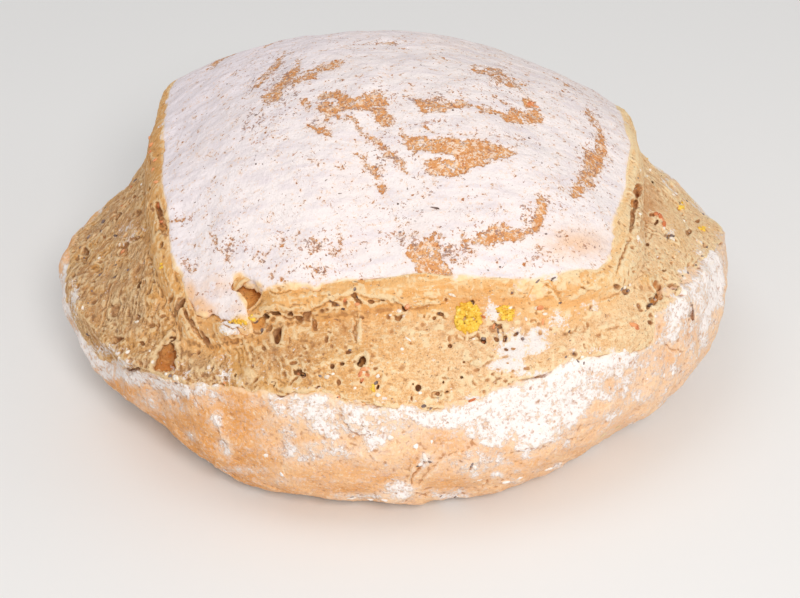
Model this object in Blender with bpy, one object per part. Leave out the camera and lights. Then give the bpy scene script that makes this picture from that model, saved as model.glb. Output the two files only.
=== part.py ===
"""A spelt sourdough loaf, whole and uncut.

A round hearth loaf, about a quarter of a metre across. Four scores cut a
squarish lid into the top before baking. In the oven the lid rose and the dough
under it tore open, so the loaf has three zones, one above the other:

  lower crust   a round shell that bulges out from a flat base and ends in a
                rim, where the scores opened it
  torn crumb    a rough band that climbs from the rim to the foot of a short
                steep wall under the lid
  lid           a floured dome with a squarish outline, whose near-left corner
                hangs down as a tongue

It is one solid. Every ring of the surface is a loft section: its radius and
height follow the direction round the loaf, from the sizes named below.

Metres, +Z up. The origin is on the surface that the loaf stands on, under the
middle of its plan. -Y is the near side and +X is the right side.
"""

import math

import bmesh
import bpy
from mathutils import Vector, noise

# ---------------------------------------------------------------- main sizes
HEIGHT = 0.119            # apex of the lid over the surface it stands on
BASE_RADIUS = 0.0895      # edge of the flat underside
BELLY_RADIUS = 0.1245     # widest ring of the lower crust
BELLY_HEIGHT = 0.030
RIM_RADIUS = 0.1215       # torn upper edge of the lower crust
RIM_HEIGHT = 0.038
LID_FALL = 4.35           # the lid drops by LID_FALL * radius ** 2 from its apex
WALL_OUT = 0.004          # how far the wall's foot stands out from the lid's edge
WALL_DROP = 0.009         # how far the wall's foot lies below the lid's edge
SHOULDER_FULLNESS = -0.25 # crumb band: below 0 it is hollow, above 0 it bulges

# The four scores: direction that each one faces, and its distance from the
# middle. Their corners are rounded by the power below.
SCORES = ((-91.0, 0.0885), (-3.0, 0.0865), (82.0, 0.0880), (184.0, 0.0830))
SCORE_POWER = 5.5
TONGUE_AT = -127.0        # direction of the hanging corner of the lid
TONGUE_WIDTH = 9.0
TONGUE_REACH = 0.004

# ---------------------------------------------------------------- mesh density
AROUND = 136              # points round a full ring; the top rings halve it
BASE_RINGS = 5
BELLY_RINGS = 3
CRUMB_RINGS = 10
WALL_RINGS = 4
LID_RINGS = 5             # at the full count, then halved twice to the apex

# ---------------------------------------------------------------- hollows
# Large burst bubbles in the crumb: direction, share of the way from the rim
# (0) up to the wall's foot (1), radius and depth.
HOLLOWS = (
    (-139.0, 0.22, 0.0085, 0.0060),
    (-112.0, 0.62, 0.0065, 0.0035),
    (-99.0, 0.60, 0.0065, 0.0035),
    (-31.0, 0.35, 0.0070, 0.0040),
    (38.0, 0.50, 0.0075, 0.0040),
    (92.0, 0.40, 0.0080, 0.0045),
    (128.0, 0.40, 0.0070, 0.0040),
)


def around(theta, mean, *swells):
    """A size that changes round the loaf: a mean, and swells of
    (direction, half width, amount), angles in degrees."""
    value = mean
    for at, wide, amount in swells:
        off = (theta - at + 180.0) % 360.0 - 180.0
        value += amount * math.exp(-((off / wide) ** 2))
    return value


def lid_outline(theta):
    """Radius of the lid's edge: four straight scores with rounded corners."""
    total = 0.0
    for facing, distance in SCORES:
        share = math.cos(math.radians(theta - facing))
        if share > 0.0:
            total += (share / distance) ** SCORE_POWER
    return total ** (-1.0 / SCORE_POWER) + around(
        theta, 0.0, (TONGUE_AT, TONGUE_WIDTH, TONGUE_REACH),
        (38, 20, -0.004), (130, 18, -0.002)
    )


def section(theta):
    """The loaf's half section in one direction: its named points, as
    (radius, height), and the fall of the lid there."""
    base = (
        around(theta, BASE_RADIUS, (-90, 45, 0.0085), (180, 50, -0.010),
               (-135, 28, 0.005), (-40, 28, -0.005)),
        0.0,
    )
    belly = (
        around(theta, BELLY_RADIUS, (-95, 45, -0.0035), (-140, 22, -0.006),
               (180, 30, 0.003), (140, 25, -0.004)),
        around(theta, BELLY_HEIGHT, (180, 50, 0.007), (-135, 30, -0.002),
               (-60, 60, 0.004)),
    )
    rim = (
        around(theta, RIM_RADIUS, (-90, 45, -0.005), (-142, 20, 0.0035),
               (180, 30, 0.001), (140, 25, -0.005)),
        around(theta, RIM_HEIGHT, (-90, 75, 0.015), (-30, 24, 0.012),
               (180, 40, 0.004), (-58, 15, 0.006), (-87, 8, -0.002),
               (88, 32, 0.010)),
    )
    fall = around(theta, LID_FALL, (-52, 20, -0.85), (45, 26, 0.60),
                  (-127, 20, 0.20), (-96, 14, 0.50), (138, 24, -1.30),
                  (0, 20, -0.20))
    edge_radius = lid_outline(theta)
    edge = (edge_radius, HEIGHT - fall * edge_radius ** 2)
    foot = (
        edge[0] + around(theta, WALL_OUT, (180, 30, 0.004)),
        edge[1] - around(theta, WALL_DROP, (180, 30, 0.008), (0, 30, 0.005)),
    )
    return base, belly, rim, foot, edge, fall


def curve(start, middle, end, t):
    """A point on a quadratic Bezier curve."""
    u = 1.0 - t
    return tuple(
        u * u * a + 2.0 * u * t * b + t * t * c
        for a, b, c in zip(start, middle, end)
    )


def profile(theta):
    """Points up the section from the base's edge to the lid's edge, each with
    the roughness of its zone: (radius, height, roughness)."""
    base, belly, rim, foot, edge, _ = section(theta)
    fullness = around(theta, SHOULDER_FULLNESS, (-90, 50, 0.65), (88, 32, 0.55))
    points = []
    for i in range(BASE_RINGS):
        a = 0.5 * math.pi * i / BASE_RINGS
        points.append((
            base[0] + (belly[0] - base[0]) * math.sin(a) ** 1.2,
            belly[1] * (1.0 - math.cos(a)),
            0.0 if i == 0 else 0.6 * i / BASE_RINGS,
        ))
    for i in range(BELLY_RINGS):
        t = i / BELLY_RINGS
        points.append((
            belly[0] + (rim[0] - belly[0]) * t ** 1.8,
            belly[1] + (rim[1] - belly[1]) * t,
            0.7,
        ))
    middle = (
        rim[0] - (rim[0] - foot[0]) * (0.5 - 0.35 * fullness),
        rim[1] + (foot[1] - rim[1]) * (0.5 + 0.40 * fullness),
    )
    # The rim is a lip: the crumb starts a little inside it.
    points.append((rim[0], rim[1], 0.7))
    for i in range(CRUMB_RINGS):
        t = (i + 0.6) / CRUMB_RINGS
        points.append((*curve(rim, middle, foot, t), 1.0))
    bulge = (foot[0] + 0.1 * (foot[0] - edge[0]), foot[1] + 0.75 * (edge[1] - foot[1]))
    for i in range(1, WALL_RINGS):
        points.append((*curve(foot, bulge, edge, i / WALL_RINGS), 0.5))
    points.append((*edge, 0.3))
    return points


def place(theta, radius, height):
    angle = math.radians(theta)
    return Vector((radius * math.cos(angle), radius * math.sin(angle), height))


def relief(point, roughness):
    """Lumps of the baked surface, in metres, outwards."""
    broad = noise.noise(point * 38.0)
    fine = noise.noise(point * 95.0 + Vector((3.1, 7.7, 1.3)))
    return roughness * (0.0012 * broad + 0.0009 * fine)


def ring_thetas(count):
    return [360.0 * i / count - 180.0 for i in range(count)]


def bridge(bm, lower, upper):
    """Faces between two rings of the same count, or of twice the count below."""
    n, m = len(lower), len(upper)
    if n == m:
        for i in range(n):
            j = (i + 1) % n
            bm.faces.new((lower[i], lower[j], upper[j], upper[i]))
        return
    for i in range(m):
        a, b, c = lower[2 * i], lower[(2 * i + 1) % n], lower[(2 * i + 2) % n]
        p, q = upper[i], upper[(i + 1) % m]
        bm.faces.new((a, b, p))
        bm.faces.new((b, q, p))
        bm.faces.new((b, c, q))


def build_loaf():
    bm = bmesh.new()
    thetas = ring_thetas(AROUND)
    columns = [profile(theta) for theta in thetas]
    rings = []
    for level in range(len(columns[0])):
        ring = []
        for theta, column in zip(thetas, columns):
            radius, height, roughness = column[level]
            point = place(theta, radius, height)
            out = Vector((point.x, point.y, 0.4 * radius)).normalized()
            point += out * relief(point, roughness)
            point.z = max(point.z, 0.0)
            ring.append(bm.verts.new(point))
        rings.append(ring)

    # The lid: rings that shrink to the apex, on fewer points near the middle.
    counts = [AROUND] * LID_RINGS + [AROUND // 2] * 3 + [AROUND // 4] * 2
    for step, count in enumerate(counts):
        share = 1.0 - (step + 1) / (len(counts) + 1.0)
        ring = []
        for theta in ring_thetas(count):
            _, _, _, _, edge, fall = section(theta)
            radius = edge[0] * share
            point = place(theta, radius, HEIGHT - fall * radius ** 2)
            if share < 0.9:
                point.z += relief(point, 0.35)
            ring.append(bm.verts.new(point))
        rings.append(ring)
    for lower, upper in zip(rings, rings[1:]):
        bridge(bm, lower, upper)
    apex = bm.verts.new((0.0, 0.0, HEIGHT))
    top = rings[-1]
    for i in range(len(top)):
        bm.faces.new((top[i], top[(i + 1) % len(top)], apex))

    # The flat underside.
    bm.faces.new(list(reversed(rings[0])))

    # Burst bubbles: the crumb sinks round each of them.
    crumb_start = BASE_RINGS + BELLY_RINGS + 1
    crumb = [v for ring in rings[crumb_start:crumb_start + CRUMB_RINGS] for v in ring]
    for theta, share, radius, depth in HOLLOWS:
        _, _, rim, foot, _, _ = section(theta)
        middle = place(
            theta,
            rim[0] + (foot[0] - rim[0]) * share,
            rim[1] + (foot[1] - rim[1]) * share,
        )
        middle = min(crumb, key=lambda v: (v.co - middle).length).co.copy()
        inwards = Vector((-middle.x, -middle.y, -0.11)).normalized()
        for vert in crumb:
            gap = (vert.co - middle).length / radius
            if gap < 2.0:
                vert.co += inwards * depth * math.exp(-((gap / 0.9) ** 2))

    # The origin goes under the middle of the plan.
    low = Vector(tuple(min(v.co[i] for v in bm.verts) for i in range(3)))
    high = Vector(tuple(max(v.co[i] for v in bm.verts) for i in range(3)))
    shift = Vector((-0.5 * (low.x + high.x), -0.5 * (low.y + high.y), 0.0))
    bmesh.ops.translate(bm, verts=bm.verts, vec=shift)

    bmesh.ops.triangulate(bm, faces=bm.faces)
    bmesh.ops.recalc_face_normals(bm, faces=bm.faces)
    mesh = bpy.data.meshes.new("loaf")
    bm.to_mesh(mesh)
    bm.free()
    mesh.shade_smooth()
    return bpy.data.objects.new("loaf", mesh)


def bread_material():
    material = bpy.data.materials.new("bread_crust")
    material.use_nodes = True
    shader = material.node_tree.nodes["Principled BSDF"]
    shader.inputs["Base Color"].default_value = (0.72, 0.50, 0.27, 1.0)
    shader.inputs["Roughness"].default_value = 0.82
    shader.inputs["Metallic"].default_value = 0.0
    material.diffuse_color = (0.72, 0.50, 0.27, 1.0)
    return material


def main():
    for obj in list(bpy.data.objects):
        bpy.data.objects.remove(obj, do_unlink=True)
    collection = bpy.data.collections.new("spelt_sourdough_loaf")
    bpy.context.scene.collection.children.link(collection)
    loaf = build_loaf()
    loaf.data.materials.append(bread_material())
    collection.objects.link(loaf)


main()
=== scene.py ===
"""The looks of a round, uncut spelt sourdough loaf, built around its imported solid.

The surface is made as four closed pieces that overlap out of sight: a floured
lid crust, the torn crumb that fills the loaf, in a near and a far piece, and
the lower crust, a bowl with a flat underside. Each starts as the loaf's loft,
becomes a distance field on a fine grid, and gets its lumps, burst bubbles,
cracks and torn edges there.
Seeds, bran, crumbs and flour flakes are small meshes set into the surface.

Metres, +Z up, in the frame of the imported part. -Y is the near side.
"""
import math
import time

import bmesh
import bpy
import numpy as np
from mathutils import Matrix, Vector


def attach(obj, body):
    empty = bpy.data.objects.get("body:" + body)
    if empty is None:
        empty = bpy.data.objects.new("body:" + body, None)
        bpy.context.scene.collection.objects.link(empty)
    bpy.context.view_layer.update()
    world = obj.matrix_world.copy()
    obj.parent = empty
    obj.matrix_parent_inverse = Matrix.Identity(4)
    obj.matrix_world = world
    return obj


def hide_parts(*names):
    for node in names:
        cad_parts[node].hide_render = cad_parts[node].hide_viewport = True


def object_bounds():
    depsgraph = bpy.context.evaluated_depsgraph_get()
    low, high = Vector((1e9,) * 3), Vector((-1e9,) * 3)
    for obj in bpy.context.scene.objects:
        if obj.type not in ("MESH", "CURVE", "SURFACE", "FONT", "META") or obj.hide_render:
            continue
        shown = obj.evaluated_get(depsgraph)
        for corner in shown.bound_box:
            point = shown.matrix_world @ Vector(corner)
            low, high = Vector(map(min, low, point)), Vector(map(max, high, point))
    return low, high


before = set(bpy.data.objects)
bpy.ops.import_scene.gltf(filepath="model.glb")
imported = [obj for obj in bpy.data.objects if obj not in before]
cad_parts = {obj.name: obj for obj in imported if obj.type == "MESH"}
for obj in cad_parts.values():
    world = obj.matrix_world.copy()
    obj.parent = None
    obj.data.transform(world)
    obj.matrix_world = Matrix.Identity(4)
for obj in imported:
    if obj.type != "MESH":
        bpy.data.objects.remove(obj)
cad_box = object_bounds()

import openvdb as vdb
from mathutils import Matrix, Vector
from mathutils.bvhtree import BVHTree

T0 = time.perf_counter()


def note(words):
    print(f"[{time.perf_counter() - T0:6.1f}s] {words}", flush=True)


# ------------------------------------------------------------------ sizes
HEIGHT = 0.119
SHIFT = np.array([0.00119, -0.00133, 0.0])     # the section's axis in the part's frame
SCORES = ((-91.0, 0.0885), (-3.0, 0.0865), (82.0, 0.0880), (184.0, 0.0830))
SCORE_POWER = 5.5
VOXEL = 0.00053
MOST_TRIANGLES = 194_000

# The camera's place and lens, in the part's frame, for an 800 x 598 picture.
CAMERA = np.array([0.00194, -0.65373, 0.42764])
LENS, SENSOR = 90.0, 36.0
CAM_DOWN, CAM_ROLL = math.radians(32.08), math.radians(-2.55)
WIDE, HIGH = 800, 598
FOCAL_PX = LENS / SENSOR * WIDE
_right = np.array([1.0, 0.0, 0.0])
_up = np.array([0.0, math.sin(CAM_DOWN), math.cos(CAM_DOWN)])
AHEAD = np.array([0.0, math.cos(CAM_DOWN), -math.sin(CAM_DOWN)])
RIGHT = math.cos(CAM_ROLL) * _right + math.sin(CAM_ROLL) * _up
UP = -math.sin(CAM_ROLL) * _right + math.cos(CAM_ROLL) * _up


def ray(px, py):
    """The direction from the camera through a point of the picture."""
    way = AHEAD + RIGHT * (px - WIDE / 2) / FOCAL_PX - UP * (py - HIGH / 2) / FOCAL_PX
    return way / np.linalg.norm(way)


# ------------------------------------------------------------------ the section
def around(theta, mean, *swells):
    """A size that changes round the loaf, with swells of (direction, half width, amount)."""
    value = np.zeros_like(theta) + mean
    for at, wide, amount in swells:
        off = (theta - at + 180.0) % 360.0 - 180.0
        value = value + amount * np.exp(-((off / wide) ** 2))
    return value


def lid_outline(theta):
    total = 0.0
    for facing, distance in SCORES:
        share = np.clip(np.cos(np.radians(theta - facing)), 1e-9, None)
        total = total + (share / distance) ** SCORE_POWER
    return total ** (-1.0 / SCORE_POWER) + around(
        theta, 0.0, (-127, 9, 0.004), (38, 20, -0.004), (130, 18, -0.002)
    )


def section(theta):
    base_r = around(theta, 0.0895, (-90, 45, 0.0085), (180, 50, -0.010),
                    (-135, 28, 0.005), (-40, 28, -0.005))
    belly_r = around(theta, 0.1245, (-95, 45, -0.0035), (-140, 22, -0.006),
                     (180, 30, 0.003), (140, 25, -0.004))
    belly_z = around(theta, 0.030, (180, 50, 0.007), (-135, 30, -0.002), (-60, 60, 0.004))
    rim_r = around(theta, 0.1215, (-90, 45, -0.005), (-142, 20, 0.0035),
                   (180, 30, 0.001), (140, 25, -0.005))
    rim_z = around(theta, 0.038, (-90, 75, 0.015), (-30, 24, 0.012), (180, 40, 0.004),
                   (-58, 15, 0.006), (-87, 8, -0.002), (88, 32, 0.010))
    fall = around(theta, 4.35, (-52, 20, -0.85), (45, 26, 0.60), (-127, 20, 0.20),
                  (-96, 14, 0.50), (138, 24, -1.30), (0, 20, -0.20))
    edge_r = lid_outline(theta)
    edge_z = HEIGHT - fall * edge_r ** 2
    foot_r = edge_r + around(theta, 0.004, (180, 30, 0.004))
    foot_z = edge_z - around(theta, 0.009, (180, 30, 0.008), (0, 30, 0.005))
    full = around(theta, -0.25, (-90, 50, 0.65), (88, 32, 0.55))
    return dict(base_r=base_r, belly_r=belly_r, belly_z=belly_z, rim_r=rim_r, rim_z=rim_z,
                fall=fall, edge_r=edge_r, edge_z=edge_z, foot_r=foot_r, foot_z=foot_z, full=full)


def loft(count, base=10, belly=8, crumb=26, wall=12, lid=60):
    """Rings of points up the loaf's surface: arrays (level, direction)."""
    theta = np.arange(count) * 360.0 / count - 180.0
    s = section(theta)
    rings = []
    for i in range(base):
        a = 0.5 * math.pi * i / base
        rings.append((s["base_r"] + (s["belly_r"] - s["base_r"]) * math.sin(a) ** 1.2,
                      s["belly_z"] * (1 - math.cos(a))))
    for i in range(belly):
        t = i / belly
        rings.append((s["belly_r"] + (s["rim_r"] - s["belly_r"]) * t ** 1.8,
                      s["belly_z"] + (s["rim_z"] - s["belly_z"]) * t))
    mid_r = s["rim_r"] - (s["rim_r"] - s["foot_r"]) * (0.5 - 0.35 * s["full"])
    mid_z = s["rim_z"] + (s["foot_z"] - s["rim_z"]) * (0.5 + 0.40 * s["full"])
    for i in range(crumb):
        t, u = i / crumb, 1 - i / crumb
        rings.append((u * u * s["rim_r"] + 2 * u * t * mid_r + t * t * s["foot_r"],
                      u * u * s["rim_z"] + 2 * u * t * mid_z + t * t * s["foot_z"]))
    out_r = s["foot_r"] + 0.1 * (s["foot_r"] - s["edge_r"])
    out_z = s["foot_z"] + 0.75 * (s["edge_z"] - s["foot_z"])
    for i in range(wall):
        t, u = i / wall, 1 - i / wall
        rings.append((u * u * s["foot_r"] + 2 * u * t * out_r + t * t * s["edge_r"],
                      u * u * s["foot_z"] + 2 * u * t * out_z + t * t * s["edge_z"]))
    for i in range(lid):
        r = s["edge_r"] * (1 - i / lid)
        rings.append((r, HEIGHT - s["fall"] * r ** 2))
    r = np.array([x[0] for x in rings])
    z = np.array([x[1] for x in rings])
    a = np.radians(theta)
    return np.stack([r * np.cos(a), r * np.sin(a), z], -1) + SHIFT


def loft_mesh(count):
    """(points, triangles) of the closed loft."""
    p = loft(count)
    levels = len(p)
    index = np.arange(levels * count).reshape(levels, count)
    a, b = index[:-1], index[1:]
    a1, b1 = np.roll(a, -1, 1), np.roll(b, -1, 1)
    tris = [np.stack([a, a1, b1], -1).reshape(-1, 3), np.stack([a, b1, b], -1).reshape(-1, 3)]
    top, low = levels * count, levels * count + 1
    i = np.arange(count)
    tris.append(np.stack([index[-1], np.roll(index[-1], -1), np.full(count, top)], -1))
    tris.append(np.stack([np.roll(index[0], -1), index[0], np.full(count, low)], -1))
    points = np.concatenate([p.reshape(-1, 3), [SHIFT + [0, 0, HEIGHT]], [SHIFT]])
    return points, np.concatenate(tris)


smooth_points, smooth_tris = loft_mesh(480)
smooth_tree = BVHTree.FromPolygons(smooth_points.tolist(), smooth_tris.tolist())
note("loft")


def hit(px, py):
    """Where the smooth loaf shows at a point of the picture: (place, normal), or None."""
    place, normal, _, _ = smooth_tree.ray_cast(Vector(CAMERA), Vector(ray(px, py)))
    if place is None:
        return None
    n = np.array(normal)
    if n @ ray(px, py) > 0:
        n = -n
    return np.array(place), n


def picture_axes(place, normal):
    """Two vectors on the surface, in metres, that show as one pixel right and one pixel up."""
    way = place - CAMERA
    depth = way @ AHEAD
    out = []
    for axis in (RIGHT, UP):
        v = axis - way * (axis @ normal) / (way @ normal)
        length = np.linalg.norm(v)
        out.append(v * min(1.0, 3.0 / length) * depth / FOCAL_PX)
    return out


# ------------------------------------------------------------------ noise
def spread(core, axis, n, step, shift, wraps):
    """Cubic interpolation of a lattice to n samples along one axis."""
    x = np.arange(n) / step + (0.0 if wraps else 1.0 + shift)
    i = np.floor(x).astype(int)
    f = (x - i).astype(np.float32)
    shape = [1, 1, 1]
    shape[axis] = n
    total = 0.0
    for k, w in enumerate(((1 - f) ** 3 / 6, (3 * f ** 3 - 6 * f ** 2 + 4) / 6,
                           (-3 * f ** 3 + 3 * f ** 2 + 3 * f + 1) / 6, f ** 3 / 6)):
        at = i - 1 + k
        if wraps:
            at = at % core.shape[axis]
        total = total + np.take(core, at, axis=axis) * w.reshape(shape)
    return total


def field_noise(size, seed):
    """A smooth random field over the whole grid, of unit spread, with lumps of about this size in metres."""
    chance = np.random.default_rng(seed)
    step = size / VOXEL / 1.6
    core = chance.standard_normal([int(n / step) + 6 for n in SHAPE]).astype(np.float32)
    for axis in (2, 1, 0):
        core = spread(core, axis, SHAPE[axis], step, chance.random(), False)
    return core / core[::7, ::7, ::7].std()


TILE = 240


def tile_noise(size, seed):
    """The same for small lumps, as a block that repeats."""
    cells = max(4, round(TILE * VOXEL * 1.6 / size))
    core = np.random.default_rng(seed).standard_normal((cells,) * 3).astype(np.float32)
    for axis in (2, 1, 0):
        core = spread(core, axis, TILE, TILE / cells, 0.0, True)
    return core / core[::7, ::7, ::7].std()


_perm = np.random.default_rng(11).permutation(256).astype(np.int64)
_perm = np.concatenate([_perm, _perm])
_grads = np.random.default_rng(12).standard_normal((256, 3))
_grads /= np.linalg.norm(_grads, axis=1, keepdims=True)


def perlin(p):
    """Gradient noise at points (n, 3), about -1 to 1."""
    i = np.floor(p).astype(np.int64)
    f = p - i
    u = f * f * f * (f * (f * 6 - 15) + 10)
    total = np.zeros(len(p))
    for dx in (0, 1):
        for dy in (0, 1):
            for dz in (0, 1):
                h = _perm[_perm[_perm[(i[:, 0] + dx) & 255] + ((i[:, 1] + dy) & 255)] + ((i[:, 2] + dz) & 255)]
                g = _grads[h]
                d = g[:, 0] * (f[:, 0] - dx) + g[:, 1] * (f[:, 1] - dy) + g[:, 2] * (f[:, 2] - dz)
                w = (u[:, 0] if dx else 1 - u[:, 0]) * (u[:, 1] if dy else 1 - u[:, 1]) * (u[:, 2] if dz else 1 - u[:, 2])
                total += w * d
    return total * 1.6


def fbm(p, size, octaves=3, seed=0.0):
    """Layered noise at points, with its largest lumps of this size in metres."""
    total, amount, norm = 0.0, 1.0, 0.0
    q = p / size + seed * np.array([7.13, 3.71, 5.39])
    for _ in range(octaves):
        total = total + amount * perlin(q)
        norm += amount
        q = q * 2.03 + 11.7
        amount *= 0.5
    return total / norm * 1.4


def ridged(p, size, octaves=2, seed=0.0):
    """Noise with sharp crests, about -1 to 1."""
    total, amount, norm = 0.0, 1.0, 0.0
    q = p / size + seed * np.array([4.31, 8.17, 6.07])
    for _ in range(octaves):
        total = total + amount * np.clip(1 - 3.4 * np.abs(perlin(q)), -1, 1)
        norm += amount
        q = q * 2.07 + 5.3
        amount *= 0.55
    return total / norm


def smooth_step(x, low, high):
    t = np.clip((x - low) / (high - low), 0, 1)
    return t * t * (3 - 2 * t)


def smax(a, b, k):
    return np.maximum(a, b) + np.maximum(k - np.abs(a - b), 0) ** 2 / (4 * k)


def smin(a, b, k):
    return -smax(-a, -b, k)


# ------------------------------------------------------------------ the seams
# The near edge of the floured lid, and the seam between crumb and lower crust,
# as they run in the picture. The rest follows the section.
LID_EDGE = [
    (166, 105), (163, 123), (162, 146), (161, 171), (161, 188), (165, 209), (168, 222), (167, 234),
    (170, 254), (175, 269), (182, 276), (183, 290), (189, 306), (195, 315), (216, 316), (219, 321),
    (251, 319), (247, 308), (241, 300), (237, 289), (235, 280), (240, 277), (247, 281), (258, 286),
    (264, 292), (283, 288), (307, 287), (314, 290), (320, 288), (322, 284), (347, 279), (384, 279),
    (412, 278), (453, 281), (486, 280), (516, 281), (536, 281), (546, 277), (557, 276), (582, 270),
    (599, 269), (608, 261), (613, 251), (615, 238), (613, 227), (620, 207), (623, 200), (628, 188),
    (628, 175), (631, 158), (633, 149),
]
RIM_EDGE = [
    (73, 323), (96, 358), (118, 365), (153, 373), (176, 381), (200, 386), (230, 388), (267, 391),
    (281, 393), (309, 391), (330, 392), (345, 401), (371, 402), (399, 406), (426, 408), (449, 410),
    (467, 402), (482, 397), (500, 388), (517, 379), (546, 371), (561, 364), (584, 358), (607, 353),
    (632, 351), (653, 344), (655, 312), (669, 301), (680, 282), (701, 263), (713, 241),
]

lid_ring = [hit(*xy)[0][:2] - SHIFT[:2] for xy in LID_EDGE]
for t in range(-3, 152, 5):
    r = float(lid_outline(np.array([float(t)]))[0])
    lid_ring.append(np.array([r * math.cos(math.radians(t)), r * math.sin(math.radians(t))]))
lid_ring = np.array(lid_ring)

rim_places = np.array([hit(*xy)[0] for xy in RIM_EDGE]) - SHIFT
rim_theta = np.degrees(np.arctan2(rim_places[:, 1], rim_places[:, 0]))
rim_move = rim_places[:, 2] - section(rim_theta)["rim_z"]
rim_theta = np.concatenate([[-180.0, -172.0], rim_theta, [2.0, 180.0]])
rim_move = np.concatenate([[0.0, -0.004], rim_move, [0.0, 0.0]])


def rim_height(theta, s):
    return s["rim_z"] + np.interp(theta, rim_theta, rim_move)


# ------------------------------------------------------------------ the field
LOW = np.array(cad_box[0]) - 0.008
SPAN = np.array(cad_box[1]) + 0.008 - LOW
SHAPE = tuple(int(math.ceil(s / VOXEL)) for s in SPAN)

grid = vdb.FloatGrid.createLevelSetFromPolygons(
    np.ascontiguousarray((smooth_points - LOW) / VOXEL, np.float32),
    triangles=np.ascontiguousarray(smooth_tris, np.uint32),
    halfWidth=int(0.0085 / VOXEL),
)
SOLID = np.empty(SHAPE, np.float32)
grid.copyToArray(SOLID)
SOLID *= VOXEL
del grid
note(f"distance field {SHAPE}")

gx = (LOW[0] + VOXEL * np.arange(SHAPE[0]) - SHIFT[0])
gy = (LOW[1] + VOXEL * np.arange(SHAPE[1]) - SHIFT[1])
gz = (LOW[2] + VOXEL * np.arange(SHAPE[2])).astype(np.float32)
plan_theta = np.degrees(np.arctan2(gy[None, :], gx[:, None]))
plan_section = section(plan_theta)
plan_rim_z = rim_height(plan_theta, plan_section).astype(np.float32)


def ring_distance(ring, x, y):
    """Distance in from a closed plan outline, under 0 outside."""
    near = np.full(x.shape, 1e9)
    inside = np.zeros(x.shape, bool)
    for (x0, y0), (x1, y1) in zip(ring, np.roll(ring, -1, 0)):
        dx, dy = x1 - x0, y1 - y0
        t = np.clip(((x - x0) * dx + (y - y0) * dy) / (dx * dx + dy * dy), 0, 1)
        near = np.minimum(near, (x - x0 - t * dx) ** 2 + (y - y0 - t * dy) ** 2)
        crosses = (y0 > y) != (y1 > y)
        with np.errstate(divide="ignore", invalid="ignore"):
            inside ^= crosses & (x < x0 + (y - y0) * dx / dy)
    return np.where(inside, 1, -1) * np.sqrt(near)


plan_lid = ring_distance(lid_ring, *np.meshgrid(gx, gy, indexing="ij")).astype(np.float32)

band = np.flatnonzero((SOLID.ravel() > -0.0046) & (SOLID.ravel() < 0.0024))
bi, bj, bk = np.unravel_index(band, SHAPE)
b_solid = SOLID.ravel()[band]
b_z = gz[bk]
b_flat = bi * SHAPE[1] + bj
b_theta = plan_theta.astype(np.float32).ravel()[b_flat]
b_in_lid = np.where(b_z > 0.05, plan_lid.ravel()[b_flat], np.float32(-0.05))
b_over_rim = b_z - plan_rim_z.ravel()[b_flat]
b_tile = ((bi % TILE) * TILE + bj % TILE) * TILE + bk % TILE
note(f"band of {len(band)} voxels")

n_broad = field_noise(0.024, 1).ravel()[band]
n_mid2 = field_noise(0.0125, 5).ravel()[band]
n_mid = tile_noise(0.0078, 2).ravel()[b_tile]
n_small = tile_noise(0.0042, 3).ravel()[b_tile]
n_fine = tile_noise(0.0023, 4).ravel()[b_tile]
n_pits = tile_noise(0.0027, 8).ravel()[b_tile]
n_zone = field_noise(0.017, 9).ravel()[band]
wobble_tile = tile_noise(0.0036, 21)
note("noise fields")


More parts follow.
